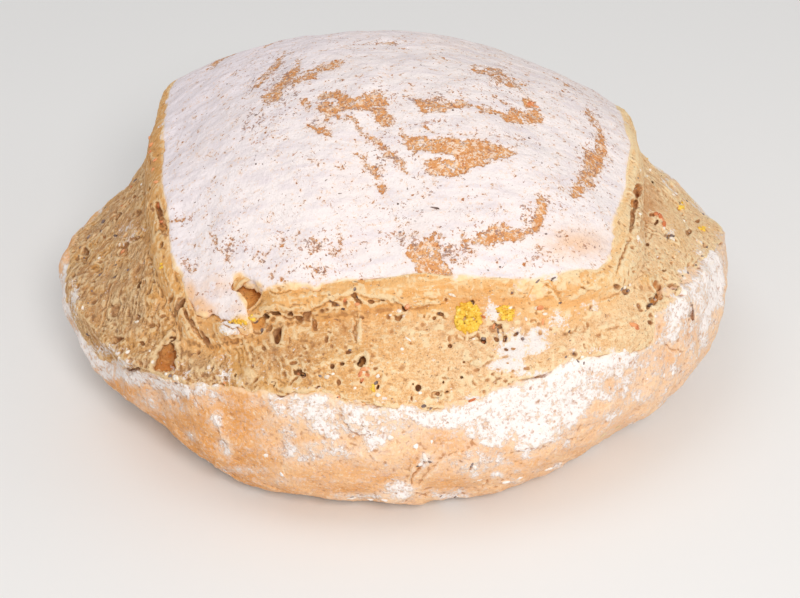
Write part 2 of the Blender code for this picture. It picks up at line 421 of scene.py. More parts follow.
# ------------------------------------------------------------------ burst bubbles and cracks
# (x, y, width, height, turn, depth): place and sizes in the picture, the turn of
# the long side in degrees, and the depth in millimetres.
HOLES = [
    # left crumb
    (159, 364, 12, 15, 0, 7.0), (168, 358, 15, 27, 0, 7.0), (171, 345, 8, 18, 8, 5.0), (162, 354, 9, 18, 26, 5.5), (84, 254, 7, 15, 8, 3.2), (114, 308, 8, 15, 32, 3.1),
    (123, 249, 5, 16, 28, 2.6), (117, 338, 12, 5, -10, 2.6), (177, 307, 4, 22, 16, 3.6),
    (190, 322, 3, 10, -24, 2.4), (204, 343, 10, 5, 42, 3.6), (198, 335, 3, 9, -36, 2.6), (197, 351, 3, 5, 10, 2.2),
    (149, 208, 5, 8, 10, 2.4), (134, 371, 18, 4, -26, 2.6), (76, 257, 4, 4, 0, 1.8),
    (103, 236, 5, 4, 30, 1.8), (139, 287, 4, 9, 12, 2.0), (131, 240, 13, 4, -38, 1.8),
    (98, 270, 4, 4, 0, 1.4), (142, 343, 8, 5, 30, 1.6), (110, 304, 4, 5, 30, 2.0),
    (162, 246, 4, 8, 10, 1.8), (95, 332, 5, 4, -20, 1.8), (141, 366, 6, 6, 0, 2.4),
    (161, 217, 8, 24, -10, 2.4), (92, 292, 5, 3, 20, 1.5), (138, 213, 5, 8, 30, 1.6),
    (93, 281, 4, 3, 0, 1.4), (73, 275, 4, 6, 0, 1.5), (113, 323, 4, 4, 0, 1.4),
    (184, 313, 3, 6, 0, 1.8), (212, 351, 3, 3, 0, 1.4), (186, 330, 2, 5, 20, 1.4),
    (150, 190, 4, 6, 10, 1.5), (120, 216, 4, 7, 35, 1.4), (107, 262, 3, 5, 0, 1.2),
    (157, 328, 3, 10, 20, 1.3), (168, 300, 3, 10, 15, 1.3), (88, 322, 4, 4, 0, 1.5),
    # hollow beside the hanging corner, and under it
    (248, 293, 19, 29, 38, 6.4), (257, 325, 13, 12, 0, 4.6), (262, 320, 7, 6, 0, 3.2),
    (243, 333, 14, 6, 30, 2.4), (233, 322, 22, 5, 0, 2.2),
    # front band
    (267, 317, 6, 5, 8, 2.6), (276, 314, 9, 5, 14, 2.8), (290, 315, 6, 5, 0, 2.4), (300, 320, 6, 5, 30, 2.2),
    (307, 317, 7, 8, 20, 2.4), (314, 323, 4, 10, 0, 1.8),
    (329, 301, 5, 4, -40, 2.0), (335, 305, 8, 5, -30, 2.4), (345, 304, 5, 6, 0, 2.2), (354, 295, 5, 5, 20, 2.2),
    (358, 302, 6, 5, 0, 2.0), (371, 303, 6, 4, 0, 2.2), (383, 300, 4, 4, 0, 2.2), (393, 299, 6, 4, 20, 1.8),
    (388, 315, 4, 6, 0, 1.6), (398, 318, 7, 5, 0, 2.2), (405, 308, 6, 7, 0, 2.0), (361, 316, 5, 5, 0, 2.0),
    (278, 334, 8, 17, 10, 4.0), (347, 329, 16, 24, -4, 1.7), (362, 361, 9, 13, 24, 3.8),
    (378, 387, 4, 7, 30, 2.4), (361, 382, 3, 5, 20, 1.8), (418, 388, 6, 7, 20, 2.4), (413, 384, 3, 4, 40, 1.4),
    (297, 372, 9, 6, -30, 2.8), (303, 375, 5, 5, 30, 2.0), (342, 363, 6, 5, 0, 2.6), (332, 366, 5, 6, 20, 2.2),
    (517, 333, 10, 4, -38, 2.6), (523, 338, 5, 6, -38, 2.0), (472, 302, 5, 5, 0, 2.6), (512, 293, 4, 6, 14, 2.4),
    (440, 314, 7, 4, 24, 2.4), (484, 341, 10, 6, -50, 2.8), (450, 346, 5, 5, 0, 2.4), (498, 311, 5, 5, 0, 2.4),
    (434, 318, 4, 5, 30, 1.8), (322, 313, 5, 4, 0, 2.0), (327, 311, 4, 3, 0, 1.6), (340, 300, 4, 3, 0, 1.6),
    (400, 268, 3, 3, 0, 1.2), (506, 337, 4, 5, 0, 2.0), (497, 339, 4, 7, -40, 2.2),
    (446, 300, 3, 4, 0, 1.4), (331, 345, 4, 4, 0, 1.5), (345, 346, 4, 4, 0, 1.5), (424, 316, 3, 4, 0, 1.4),
    (464, 362, 4, 3, 0, 1.3), (447, 392, 6, 3, -10, 1.6), (348, 352, 7, 5, 0, 1.8), (316, 388, 6, 4, 20, 2.0),
    (318, 386, 6, 3, -10, 1.8), (500, 326, 4, 6, 20, 2.0), (505, 340, 5, 4, 0, 2.0),
    (545, 322, 7, 4, 24, 1.8), (551, 328, 4, 5, 0, 1.8), (567, 333, 7, 5, 40, 2.2), (576, 355, 7, 6, 40, 2.4),
    (572, 361, 6, 4, 0, 2.0), (584, 363, 5, 3, 40, 2.0), (537, 282, 7, 3, 26, 2.2), (553, 278, 7, 5, 30, 1.8),
    (263, 348, 4, 4, 0, 1.4), (288, 346, 4, 3, 0, 1.3), (306, 352, 4, 3, 0, 1.2), (592, 307, 3, 6, 20, 1.6),
    (371, 345, 4, 4, 0, 1.3), (438, 394, 5, 4, 0, 1.8), (252, 366, 3, 4, 0, 1.2), (247, 352, 4, 4, 0, 1.3),
    (619, 288, 7, 6, 20, 2.2), (627, 291, 7, 6, -30, 2.2), (586, 290, 12, 3, 24, 1.6),
    # right shoulder
    (641, 190, 13, 11, 20, 3.4), (636, 202, 8, 9, 0, 3.6), (651, 183, 7, 5, -20, 2.4), (643, 178, 5, 5, 0, 2.2),
    (662, 185, 9, 6, 10, 2.2), (666, 190, 6, 4, 0, 1.8), (633, 219, 3, 20, 4, 2.4),
    (648, 244, 5, 6, 30, 2.8), (658, 290, 9, 18, -24, 4.0), (652, 301, 11, 7, 24, 3.0), (648, 305, 5, 8, 0, 2.4),
    (674, 287, 9, 6, 30, 2.8), (680, 276, 5, 9, -20, 2.2), (663, 271, 5, 4, 0, 2.2), (640, 306, 4, 7, -20, 1.8),
    (668, 296, 8, 5, 20, 2.4), (705, 245, 5, 5, 0, 2.2), (692, 264, 5, 7, -20, 1.8), (691, 312, 5, 17, -12, 3.2),
    (634, 247, 4, 4, 0, 1.6), (657, 222, 5, 8, 30, 2.0), (652, 215, 5, 4, 0, 1.8), (665, 165, 5, 4, 0, 1.6),
    (672, 262, 4, 4, 0, 1.6), (658, 258, 5, 5, 0, 1.6), (635, 272, 4, 4, 0, 1.2), (650, 232, 4, 3, 0, 1.4),
    (668, 236, 7, 5, 0, 2.2), (689, 232, 5, 5, 0, 1.6), (682, 216, 5, 4, 0, 1.6), (697, 222, 4, 4, 0, 1.4),
    (678, 204, 5, 4, 20, 1.6), (668, 174, 6, 3, 0, 1.4), (652, 164, 4, 4, 0, 1.4), (642, 310, 5, 4, 0, 1.6),
    (652, 323, 6, 4, 20, 1.8), (700, 351, 4, 5, 20, 2.4), (678, 332, 3, 3, 0, 1.6),
]
HOLLOWS = [       # wide and shallow, with soft edges
    (645, 216, 24, 46, 8, 2.2), (254, 300, 26, 40, 38, 1.6), (305, 338, 46, 26, 4, 0.7), (205, 326, 30, 44, 30, 1.8),
    (480, 335, 60, 24, 4, 0.6), (110, 250, 50, 40, 30, 0.6), (590, 320, 60, 26, 14, 0.4), (664, 285, 16, 34, -30, 1.4),
]
RIDGES = [        # (x, y, width, height, turn, rise in millimetres)
    (361, 330, 8, 30, 0, 0.9), (149, 128, 8, 18, 0, 1.6), (155, 352, 5, 34, 24, 1.2), (152, 156, 6, 12, 0, 1.0),
    (177, 350, 4, 36, 2, 1.0), (173, 332, 8, 14, 30, 1.0), (186, 336, 8, 26, -24, 1.1), (540, 330, 22, 12, 0, 0.5), (300, 330, 50, 10, 4, 0.4), (230, 331, 26, 14, 0, 1.7),
    (566, 312, 34, 14, 14, 0.4), (610, 300, 20, 20, 20, 0.4), (480, 364, 24, 12, 10, 0.7), (244, 380, 14, 50, 40, 0.8),
    (216, 356, 14, 40, 30, 0.8), (650, 159, 9, 9, 0, 2.0), (633, 178, 8, 60, 6, 0.7), 
    (180, 378, 20, 8, 24, 1.2), (163, 378, 16, 5, 20, 1.0), (300, 498, 20, 10, 0, 1.4), (400, 494, 30, 8, -10, 1.2),
    (455, 493, 24, 7, 10, 0.9), (357, 417, 20, 26, 30, 0.6), (436, 476, 30, 36, 50, 0.9),
]


def frame_of(item):
    """Place, normal, two half axes on the surface and the depth of an item placed by the picture."""
    x, y, wide, high, turn, depth = item
    found = hit(x, y)
    if found is None:
        return None
    place, normal = found
    right, up = picture_axes(place, normal)
    c, s = math.cos(math.radians(turn)), math.sin(math.radians(turn))
    return place, normal, (right * c + up * -s) * wide / 2, (right * s + up * c) * high / 2, depth / 1000


def window(centre, reach):
    """Slices of the grid round a point, and their coordinates, or None outside."""
    low = np.maximum(np.floor((centre - reach - LOW) / VOXEL).astype(int), 0)
    high = np.minimum(np.ceil((centre + reach - LOW) / VOXEL).astype(int) + 1, SHAPE)
    if (high <= low).any():
        return None
    cut = tuple(slice(a, b) for a, b in zip(low, high))
    axes = [(LOW[i] + VOXEL * np.arange(low[i], high[i]) - centre[i]).astype(np.float32) for i in range(3)]
    return cut, low, high, axes


def ball(axes, a, b, c):
    """Squared distance in half axes from the centre of an ellipsoid, over a window."""
    m = np.linalg.inv(np.stack([a, b, c], 1)).astype(np.float32)
    total = 0.0
    for row in m:
        total = total + ((row[0] * axes[0])[:, None, None] + (row[1] * axes[1])[None, :, None]
                         + (row[2] * axes[2])[None, None, :]) ** 2
    return total


def band_point(theta, share):
    """A point of the torn band, by direction and share of the way up."""
    s = section(np.array([theta]))
    low = rim_height(np.array([theta]), s)
    t, u = share, 1 - share
    mid_r = s["rim_r"] - (s["rim_r"] - s["foot_r"]) * (0.5 - 0.35 * s["full"])
    mid_z = low + (s["foot_z"] - low) * (0.5 + 0.40 * s["full"])
    r = u * u * s["rim_r"] + 2 * u * t * mid_r + t * t * s["foot_r"]
    z = u * u * low + 2 * u * t * mid_z + t * t * s["foot_z"]
    a = math.radians(theta)
    guess = np.array([r[0] * math.cos(a), r[0] * math.sin(a), z[0]]) + SHIFT
    place, normal, _, _ = smooth_tree.find_nearest(Vector(guess))
    n = np.array(normal)
    if n @ (np.array(place) - SHIFT - [0, 0, 0.05]) < 0:
        n = -n
    return np.array(place), n


def tangents(n):
    """Across and up the slope at a normal."""
    across = np.cross([0.0, 0.0, 1.0], n)
    across /= np.linalg.norm(across) + 1e-9
    return across, np.cross(n, across)


rng = np.random.default_rng(2024)
holes = []
for item in HOLES:
    found = frame_of(item)
    if found is not None:
        holes.append(found)
# Chance bubbles round the rest of the band.
taken = [h[0] for h in holes]
count, tries = 0, 0
while count < 400 and tries < 6000:
    tries += 1
    theta = rng.uniform(-180, 180)
    near_side = -172 < theta < -5
    if near_side and rng.random() < 0.72:
        continue
    share = rng.uniform(0.02, 0.97)
    size = min(0.0040, 0.00042 * math.exp(rng.normal(0.28, 0.66)))
    if near_side:
        size = min(size, 0.00062)
    place, normal = band_point(theta, share)
    if min(np.linalg.norm(place - t) for t in taken) < 0.0020 + 1.5 * size:
        continue
    taken.append(place)
    across, up = tangents(normal)
    lean = abs((theta + 360) % 360 - 205) < 70
    turn = rng.normal(math.pi / 2 if lean else 0.0, 0.55)
    stretch = rng.uniform(1.0, 2.2)
    a = (across * math.cos(turn) + up * math.sin(turn)) * size * stretch
    b = (-across * math.sin(turn) + up * math.cos(turn)) * size
    depth = size * rng.uniform(1.3, 2.3) + 0.0005
    count += 1
    if count % 4 and -94 < theta < -36:            # the crumb is nearly closed at the front right
        continue
    holes.append((place, normal, a, b, depth))
# A few wide caverns on the sides that the picture doesn't show.
for theta, share, a_mm, b_mm, depth in ((158, 0.30, 5.5, 3.0, 4.0), (128, 0.62, 7.0, 3.2, 4.5), (112, 0.30, 4.0, 2.6, 3.4),
                                        (92, 0.48, 9.0, 4.2, 5.5), (64, 0.66, 5.0, 3.2, 4.0), (48, 0.28, 5.0, 2.8, 3.6),
                                        (34, 0.52, 7.5, 3.8, 5.0), (12, 0.32, 4.5, 2.6, 3.4), (78, 0.22, 4.0, 2.2, 3.2),
                                        (143, 0.80, 4.0, 2.2, 3.5), (104, 0.86, 3.4, 1.8, 3.0), (22, 0.82, 4.2, 2.0, 3.0)):
    place, normal = band_point(theta, share)
    across, up = tangents(normal)
    tilt = math.radians(rng.uniform(-30, 30))
    holes.append((place, normal, (across * math.cos(tilt) + up * math.sin(tilt)) * a_mm / 1000,
                  (up * math.cos(tilt) - across * math.sin(tilt)) * b_mm / 1000, depth / 1000))

hole_field = np.full(SHAPE, 0.02, np.float32)     # distance to the nearest bubble's wall, under 0 inside
pore_shade_field = np.zeros(SHAPE, np.float32)          # painted shade of the bubbles, 1 in the middle of a deep bubble
wide_field = np.zeros(SHAPE, np.float32)          # 1 inside a wide one
for place, normal, a, b, depth in holes:
    grow = 0.92 + 0.26 * float(smooth_step(min(np.linalg.norm(a), np.linalg.norm(b)), 0.0009, 0.0020))
    a, b = a * grow, b * grow
    la, lb = np.linalg.norm(a), np.linalg.norm(b)
    small = min(la, lb, depth)
    shadow = rng.uniform(0.45, 1.0) * min(1.0, max(0.12, 0.62 * depth / min(la, lb) - 0.42))
    wide = float(smooth_step(min(la, lb), 0.0018, 0.0026)) * (depth > 0.0032) * (1.0 if place[1] < 0.0 else 0.35)
    shadow *= 1 - 0.8 * wide
    centre = place - normal * 0.32 * depth
    found = window(centre, max(la, lb, depth) * 1.3 + 0.0015)
    if found is None:
        continue
    cut, low, high, axes = found
    wob = wobble_tile[np.ix_(*[np.arange(l, h) % TILE for l, h in zip(low, high)])]
    q = np.sqrt(ball(axes, a, b, normal * 0.8 * depth)) + 1e-6
    near = (q - 1 + (0.24 if small < 0.0026 else 0.09) * wob * min(1.0, small / 0.0011)) * small * (0.55 + 0.45 * min(1.0, small / max(la, lb)))
    hole_field[cut] = np.minimum(hole_field[cut], near)
    pore_shade_field[cut] = np.maximum(pore_shade_field[cut], shadow * np.clip((1.5 - q) / 0.45, 0, 1))
    if wide > 0.05:
        wide_field[cut] = np.maximum(wide_field[cut], wide * np.clip((1.16 - q) / 0.14, 0, 1))
note(f"{len(holes)} bubbles")

relief_field = np.zeros(SHAPE, np.float32)
for items, sign in ((RIDGES, 1.0), (HOLLOWS, -1.0)):
    for item in items:
        found = frame_of(item)
        if found is None:
            continue
        place, normal, a, b, rise = found
        most = max(np.linalg.norm(a), np.linalg.norm(b))
        found = window(place, most * 1.9 + 0.002)
        if found is None:
            continue
        cut, _, _, axes = found
        relief_field[cut] += sign * rise * np.exp(-1.3 * ball(axes, a, b, normal * max(most, 0.004)))


# ------------------------------------------------------------------ the pieces
b_holes = hole_field.ravel()[band]
b_relief = relief_field.ravel()[band]
del relief_field
lid_edge = b_in_lid + 0.0005 * n_small + 0.0004 * n_mid + 0.0002 * n_fine
rim_edge = b_over_rim + 0.0009 * n_mid + 0.0006 * n_small + 0.0003 * n_fine
skin = smooth_step(b_in_lid, -0.0090, -0.0020)
left = smooth_step(np.abs((b_theta + 360) % 360 - 205), 66, 34)
zone = smooth_step(n_zone, -0.4, 1.3)                       # rough here, smooth there
rough = (0.45 + 0.9 * zone + 0.25 * left) * (1 - 0.75 * skin)
lumps = 0.00055 * n_broad + 0.00030 * n_mid2 + rough * (0.00020 * n_mid + 0.00015 * n_small + 0.00012 * n_fine)
pits = np.clip(n_pits - 1.25, 0, 1.3) * 0.0008 * np.clip(rough * 1.1, 0, 1.3)
hidden = np.maximum(smooth_step(b_in_lid, 0.0004, 0.0022), smooth_step(-b_over_rim, 0.0002, 0.0024))
crumb = b_solid - (lumps - pits) * (1 - hidden) - b_relief * (1 - hidden) + 0.0021 * hidden
crumb = smax(crumb, -b_holes, 0.0004)
crumb = np.maximum(crumb, 0.0008 - b_z)

proud = 0.00004 + 0.0007 * smooth_step(np.abs((b_theta + 360) % 360 - 205), 62, 40)
lid = b_solid - proud - (0.00045 * n_broad + 0.00018 * n_mid + 0.00007 * n_small)
lid = smax(lid, -lid_edge, 0.0008 + 0.8 * proud)
lid = np.maximum(lid, -(b_solid + 0.0026 + 0.0004 * n_mid))

shell = b_solid - 0.00022 - (0.0006 * n_broad + 0.00045 * n_mid2 + 0.00026 * n_mid + 0.00012 * n_small + b_relief) \
    * smooth_step(b_z, 0.0005, 0.008)
shell = smax(shell, rim_edge, 0.0009)
shell = smax(shell, -np.minimum(b_holes + 0.0003, 0.02), 0.0004)
shell = np.maximum(shell, -(b_solid + 0.0032))
shell = np.maximum(shell, -b_z)


def volume(values, inner):
    """A dense field of one piece: its band, with what lies inside the band set to inner."""
    full = np.where(SOLID < 0, np.float32(inner), np.float32(0.0042))
    full.ravel()[band] = values
    return full


def smooth_normals(points, faces):
    """Vertex normals of triangles or quads."""
    d1 = points[faces[:, 2]] - points[faces[:, 0]]
    d2 = points[faces[:, -1]] - points[faces[:, 1]]
    n = np.cross(d1, d2)
    out = np.stack([sum(np.bincount(faces[:, k], n[:, axis], len(points)) for k in range(faces.shape[1]))
                    for axis in range(3)], 1)
    return out / (np.linalg.norm(out, axis=1, keepdims=True) + 1e-12)


def surface(full, name, relief, most=MOST_TRIANGLES):
    """The piece's surface as an object, with fine relief, and no more than the allowed triangles."""
    g = vdb.FloatGrid(3.0)
    g.copyFromArray(np.clip(full / VOXEL, -3.0, 3.0).astype(np.float32))
    points, quads = g.convertToQuads(0.0)
    points = np.asarray(points).astype(np.float64) * VOXEL + LOW
    quads = np.ascontiguousarray(quads).astype(np.int64)
    normals = smooth_normals(points, quads)
    points = points + normals * relief(points, normals)[:, None]
    mesh = bpy.data.meshes.new(name)
    mesh.vertices.add(len(points))
    mesh.vertices.foreach_set("co", points.astype(np.float32).ravel())
    mesh.loops.add(quads.size)
    mesh.loops.foreach_set("vertex_index", quads.astype(np.int32).ravel())
    mesh.polygons.add(len(quads))
    mesh.polygons.foreach_set("loop_start", np.arange(0, quads.size, 4, dtype=np.int32))
    mesh.update(calc_edges=True)
    piece = bpy.data.objects.new(name, mesh)
    bpy.context.scene.collection.objects.link(piece)
    m = piece.modifiers.new("fewer", "DECIMATE")
    m.ratio = min(1.0, most / (2.0 * len(quads)))
    bpy.context.view_layer.update()
    graph = bpy.context.evaluated_depsgraph_get()
    done = bpy.data.meshes.new_from_object(piece.evaluated_get(graph))
    piece.modifiers.clear()
    piece.data = done
    bpy.data.meshes.remove(mesh)
    done.name = name
    keep_largest(piece)
    note(f"{name}: {len(quads)} quads, {len(piece.data.polygons)} faces")
    return piece


def keep_largest(piece):
    """Drops bits that the cutting left loose."""
    mesh = piece.data
    n = len(mesh.vertices)
    edges = np.empty(len(mesh.edges) * 2, np.int32)
    mesh.edges.foreach_get("vertices", edges)
    edges = edges.reshape(-1, 2)
    label = np.arange(n)
    for _ in range(400):
        before = label.copy()
        low = np.minimum(label[edges[:, 0]], label[edges[:, 1]])
        np.minimum.at(label, edges[:, 0], low)
        np.minimum.at(label, edges[:, 1], low)
        label = label[label]
        if (label == before).all():
            break
    main = np.bincount(label, minlength=n).argmax()
    loose = np.flatnonzero(label != main)
    if len(loose):
        bm = bmesh.new()
        bm.from_mesh(mesh)
        bm.verts.ensure_lookup_table()
        bmesh.ops.delete(bm, geom=[bm.verts[i] for i in loose], context="VERTS")
        bm.to_mesh(mesh)
        bm.free()


def points_of(piece):
    co = np.empty(len(piece.data.vertices) * 3, np.float32)
    piece.data.vertices.foreach_get("co", co)
    return co.reshape(-1, 3).astype(np.float64)


def normals_of(piece):
    no = np.empty(len(piece.data.vertices) * 3, np.float32)
    piece.data.vertices.foreach_get("normal", no)
    return no.reshape(-1, 3).astype(np.float64)


def mark(piece, name, values):
    """Stores a value from 0 to 1 at each vertex for the materials."""
    layer = piece.data.attributes.new(name, "FLOAT", "POINT")
    layer.data.foreach_set("value", np.clip(values, 0, 1).astype(np.float32))


def place_of(points):
    """Where points lie on the loaf: direction, radius, height and the section there."""
    p = points - SHIFT
    theta = np.degrees(np.arctan2(p[:, 1], p[:, 0]))
    return theta, np.hypot(p[:, 0], p[:, 1]), p[:, 2], section(theta)


def picture_of(points):
    """Where points show in the 800 x 598 picture."""
    d = points - CAMERA
    depth = d @ AHEAD
    return WIDE / 2 + FOCAL_PX * (d @ RIGHT) / depth, HIGH / 2 - FOCAL_PX * (d @ UP) / depth


def in_lid_at(points):
    """Distance in from the lid's edge in plan, at points."""
    q = (points - LOW)[:, :2] / VOXEL
    i = np.clip(np.floor(q).astype(int), 0, np.array(SHAPE[:2]) - 2)
    f = np.clip(q - i, 0, 1)
    a = plan_lid[i[:, 0], i[:, 1]] * (1 - f[:, 0]) + plan_lid[i[:, 0] + 1, i[:, 1]] * f[:, 0]
    b = plan_lid[i[:, 0], i[:, 1] + 1] * (1 - f[:, 0]) + plan_lid[i[:, 0] + 1, i[:, 1] + 1] * f[:, 0]
    return np.where(points[:, 2] > 0.05, a * (1 - f[:, 1]) + b * f[:, 1], -0.05)


def sample(full, points):
    """A field's value at points."""
    q = (points - LOW) / VOXEL
    i = np.clip(np.floor(q).astype(int), 0, np.array(SHAPE) - 2)
    f = np.clip(q - i, 0, 1)
    total = 0.0
    for dx in (0, 1):
        for dy in (0, 1):
            for dz in (0, 1):
                w = np.abs(1 - dx - f[:, 0]) * np.abs(1 - dy - f[:, 1]) * np.abs(1 - dz - f[:, 2])
                total = total + w * full[i[:, 0] + dx, i[:, 1] + dy, i[:, 2] + dz]
    return total


def curvature(piece, rounds):
    """How far each vertex stands out from its neighbours, in metres."""
    mesh = piece.data
    edges = np.empty(len(mesh.edges) * 2, np.int32)
    mesh.edges.foreach_get("vertices", edges)
    edges = edges.reshape(-1, 2)
    points, normals = points_of(piece), normals_of(piece)
    n = len(points)
    degree = np.bincount(edges.ravel(), minlength=n).clip(1)
    mean = points
    for _ in range(rounds):
        mean = np.stack([(np.bincount(edges[:, 0], mean[edges[:, 1], axis], n)
                          + np.bincount(edges[:, 1], mean[edges[:, 0], axis], n)) / degree for axis in range(3)], 1)
    return ((points - mean) * normals).sum(1)


def blobs(x, y, items):
    """Soft spots in the picture: (x, y, half width, half height, amount)."""
    total = np.zeros(len(x))
    for cx, cy, rx, ry, amount in items:
        near = np.flatnonzero((np.abs(x - cx) < 2.2 * rx) & (np.abs(y - cy) < 2.2 * ry))
        total[near] = np.maximum(total[near], amount * np.exp(-(((x[near] - cx) / rx) ** 2 + ((y[near] - cy) / ry) ** 2)))
    return total


def steps(x, y, items):
    """Steps in the surface along lines in the picture: ((line), rise in mm, how far up it fades in pixels)."""
    total = np.zeros(len(x))
    for line, rise, fade in items:
        line = np.array(line, float)
        near = np.flatnonzero((x > line[0, 0] - 4) & (x < line[-1, 0] + 4))
        over = np.interp(x[near], line[:, 0], line[:, 1]) - y[near]
        ends = smooth_step(x[near], line[0, 0] - 4, line[0, 0] + 5) * smooth_step(x[near], line[-1, 0] + 4, line[-1, 0] - 5)
        total[near] += rise / 1000 * ends * smooth_step(over, -1.0, 1.0) * (1 - smooth_step(over, 2.0, fade))
    return total


CRUMB_STEPS = [
    ([(262, 313), (276, 309), (290, 312), (306, 312), (320, 306), (334, 299), (346, 297), (356, 292), (368, 297),
      (382, 298), (398, 303), (412, 308), (426, 305), (440, 303)], 0.75, 22),
    ([(528, 301), (536, 291), (544, 286), (552, 288), (558, 297), (562, 305)], -0.5, 12),
    ([(568, 300), (576, 299), (586, 292), (600, 288)], 0.5, 12),
    ([(466, 360), (474, 366), (482, 366), (490, 360), (494, 354)], 0.6, 10),
    ([(268, 384), (284, 392), (300, 394), (320, 390)], 0.6, 12),
    ([(290, 300), (310, 297), (330, 296)], 0.35, 8),
    ([(420, 336), (440, 330), (460, 338), (480, 344)], 0.4, 14),
    ([(224, 350), (244, 346), (262, 352)], 0.4, 12),
    ([(600, 330), (620, 326), (640, 318)], 0.4, 12),
    ([(310, 372), (330, 364), (350, 360), (366, 368)], 0.4, 10),
]
CRUST_STEPS = [
    ([(345, 421), (352, 431), (361, 433), (369, 431)], 0.7, 14),
    ([(419, 486), (430, 472), (442, 460), (460, 452), (476, 446)], -0.6, 14),
    ([(408, 486), (413, 473), (420, 466), (431, 456)], 0.9, 12),
    ([(362, 440), (364, 450), (371, 458), (380, 462)], 0.5, 12),
    ([(186, 440), (204, 452), (222, 470)], 0.5, 14),
    ([(214, 420), (222, 436), (232, 452)], 0.6, 12),
    ([(500, 455), (520, 449), (545, 445), (560, 436)], 0.5, 12),
]


# Cracks in the crumb and in the crust: (line in the picture, half width in pixels, depth in millimetres).
CRUMB_CRACKS = [
    ([(181, 296), (177, 305), (174, 318)], 1.7, 1.9), ([(183, 306), (187, 316), (192, 326), (199, 336), (208, 346)], 1.5, 1.7),
    ([(168, 228), (172, 244), (177, 262), (183, 279)], 1.3, 1.2),
    ([(127, 366), (133, 369), (139, 374)], 1.2, 1.6), ([(158, 206), (160, 216), (163, 226)], 1.6, 1.5),
    ([(143, 236), (137, 240), (131, 242)], 1.1, 0.9), ([(127, 243), (123, 249), (119, 257)], 1.6, 1.4),
    ([(143, 276), (139, 284), (139, 290)], 1.1, 1.1), ([(113, 337), (119, 340), (123, 339)], 1.1, 1.2),
    ([(262, 317), (270, 314), (278, 313)], 1.2, 1.3), ([(284, 317), (292, 319), (302, 318)], 1.2, 1.2),
    ([(313, 315), (314, 322), (315, 330)], 1.0, 1.0), ([(328, 301), (334, 304), (340, 306)], 1.2, 1.2),
    ([(354, 318), (355, 330), (357, 342)], 1.0, 1.3), ([(293, 370), (298, 375), (304, 374)], 1.2, 1.1),
    ([(352, 294), (358, 300), (362, 304)], 1.2, 1.1), ([(368, 302), (376, 302), (384, 299)], 1.0, 1.0),
    ([(394, 314), (398, 319), (404, 314)], 1.1, 1.1), ([(436, 314), (441, 314), (446, 318)], 1.1, 1.1),
    ([(468, 340), (476, 336), (485, 344)], 1.2, 1.2), ([(492, 321), (500, 328), (506, 338)], 1.0, 1.0),
    ([(250, 328), (256, 333), (262, 330)], 1.3, 1.5), ([(221, 321), (229, 326), (243, 328), (248, 334)], 1.0, 1.2),
    ([(341, 398), (352, 401), (370, 403)], 0.9, 0.9), ([(425, 407), (436, 409), (448, 409)], 1.0, 1.0),
    ([(638, 186), (636, 200), (633, 214), (632, 232)], 1.6, 1.8), ([(630, 238), (624, 252), (618, 272)], 1.2, 1.3),
    ([(648, 308), (655, 297), (661, 286)], 1.6, 1.8), ([(691, 304), (692, 312), (689, 321)], 1.4, 1.8),
    ([(670, 300), (680, 284), (690, 270), (702, 256)], 1.0, 1.1), ([(536, 281), (542, 285), (548, 286)], 1.0, 0.9),
    ([(568, 334), (574, 330), (578, 326)], 1.0, 0.9), ([(575, 362), (583, 356)], 1.1, 1.0), ([(646, 222), (652, 232), (650, 240)], 1.0, 0.9),
    ([(420, 297), (430, 299), (440, 297)], 0.8, 0.5), ([(300, 345), (306, 350)], 0.8, 0.6), ([(266, 290), (280, 293), (292, 291)], 0.8, 0.6),
    ([(306, 288), (312, 291), (320, 290)], 0.8, 0.8), ([(600, 300), (612, 296), (622, 290)], 0.9, 0.7),
]
CRUST_CRACKS = [
    ([(410, 484), (414, 473), (420, 466), (428, 459)], 1.6, 1.6), ([(414, 492), (424, 495), (432, 494)], 1.0, 1.0),
    ([(358, 420), (366, 430), (374, 440)], 0.8, 0.6), ([(470, 472), (474, 466)], 1.2, 1.2), ([(482, 488), (490, 480)], 1.0, 1.0),
    ([(691, 304), (692, 312), (689, 321)], 1.4, 1.8), ([(362, 440), (366, 450), (372, 458)], 0.8, 0.6),
    ([(186, 386), (196, 400), (206, 414)], 0.8, 0.5), ([(346, 401), (356, 404), (370, 404)], 0.8, 0.6),
    ([(560, 436), (572, 440), (584, 436)], 0.8, 0.5), ([(664, 344), (672, 350), (684, 352)], 0.9, 0.7),
]


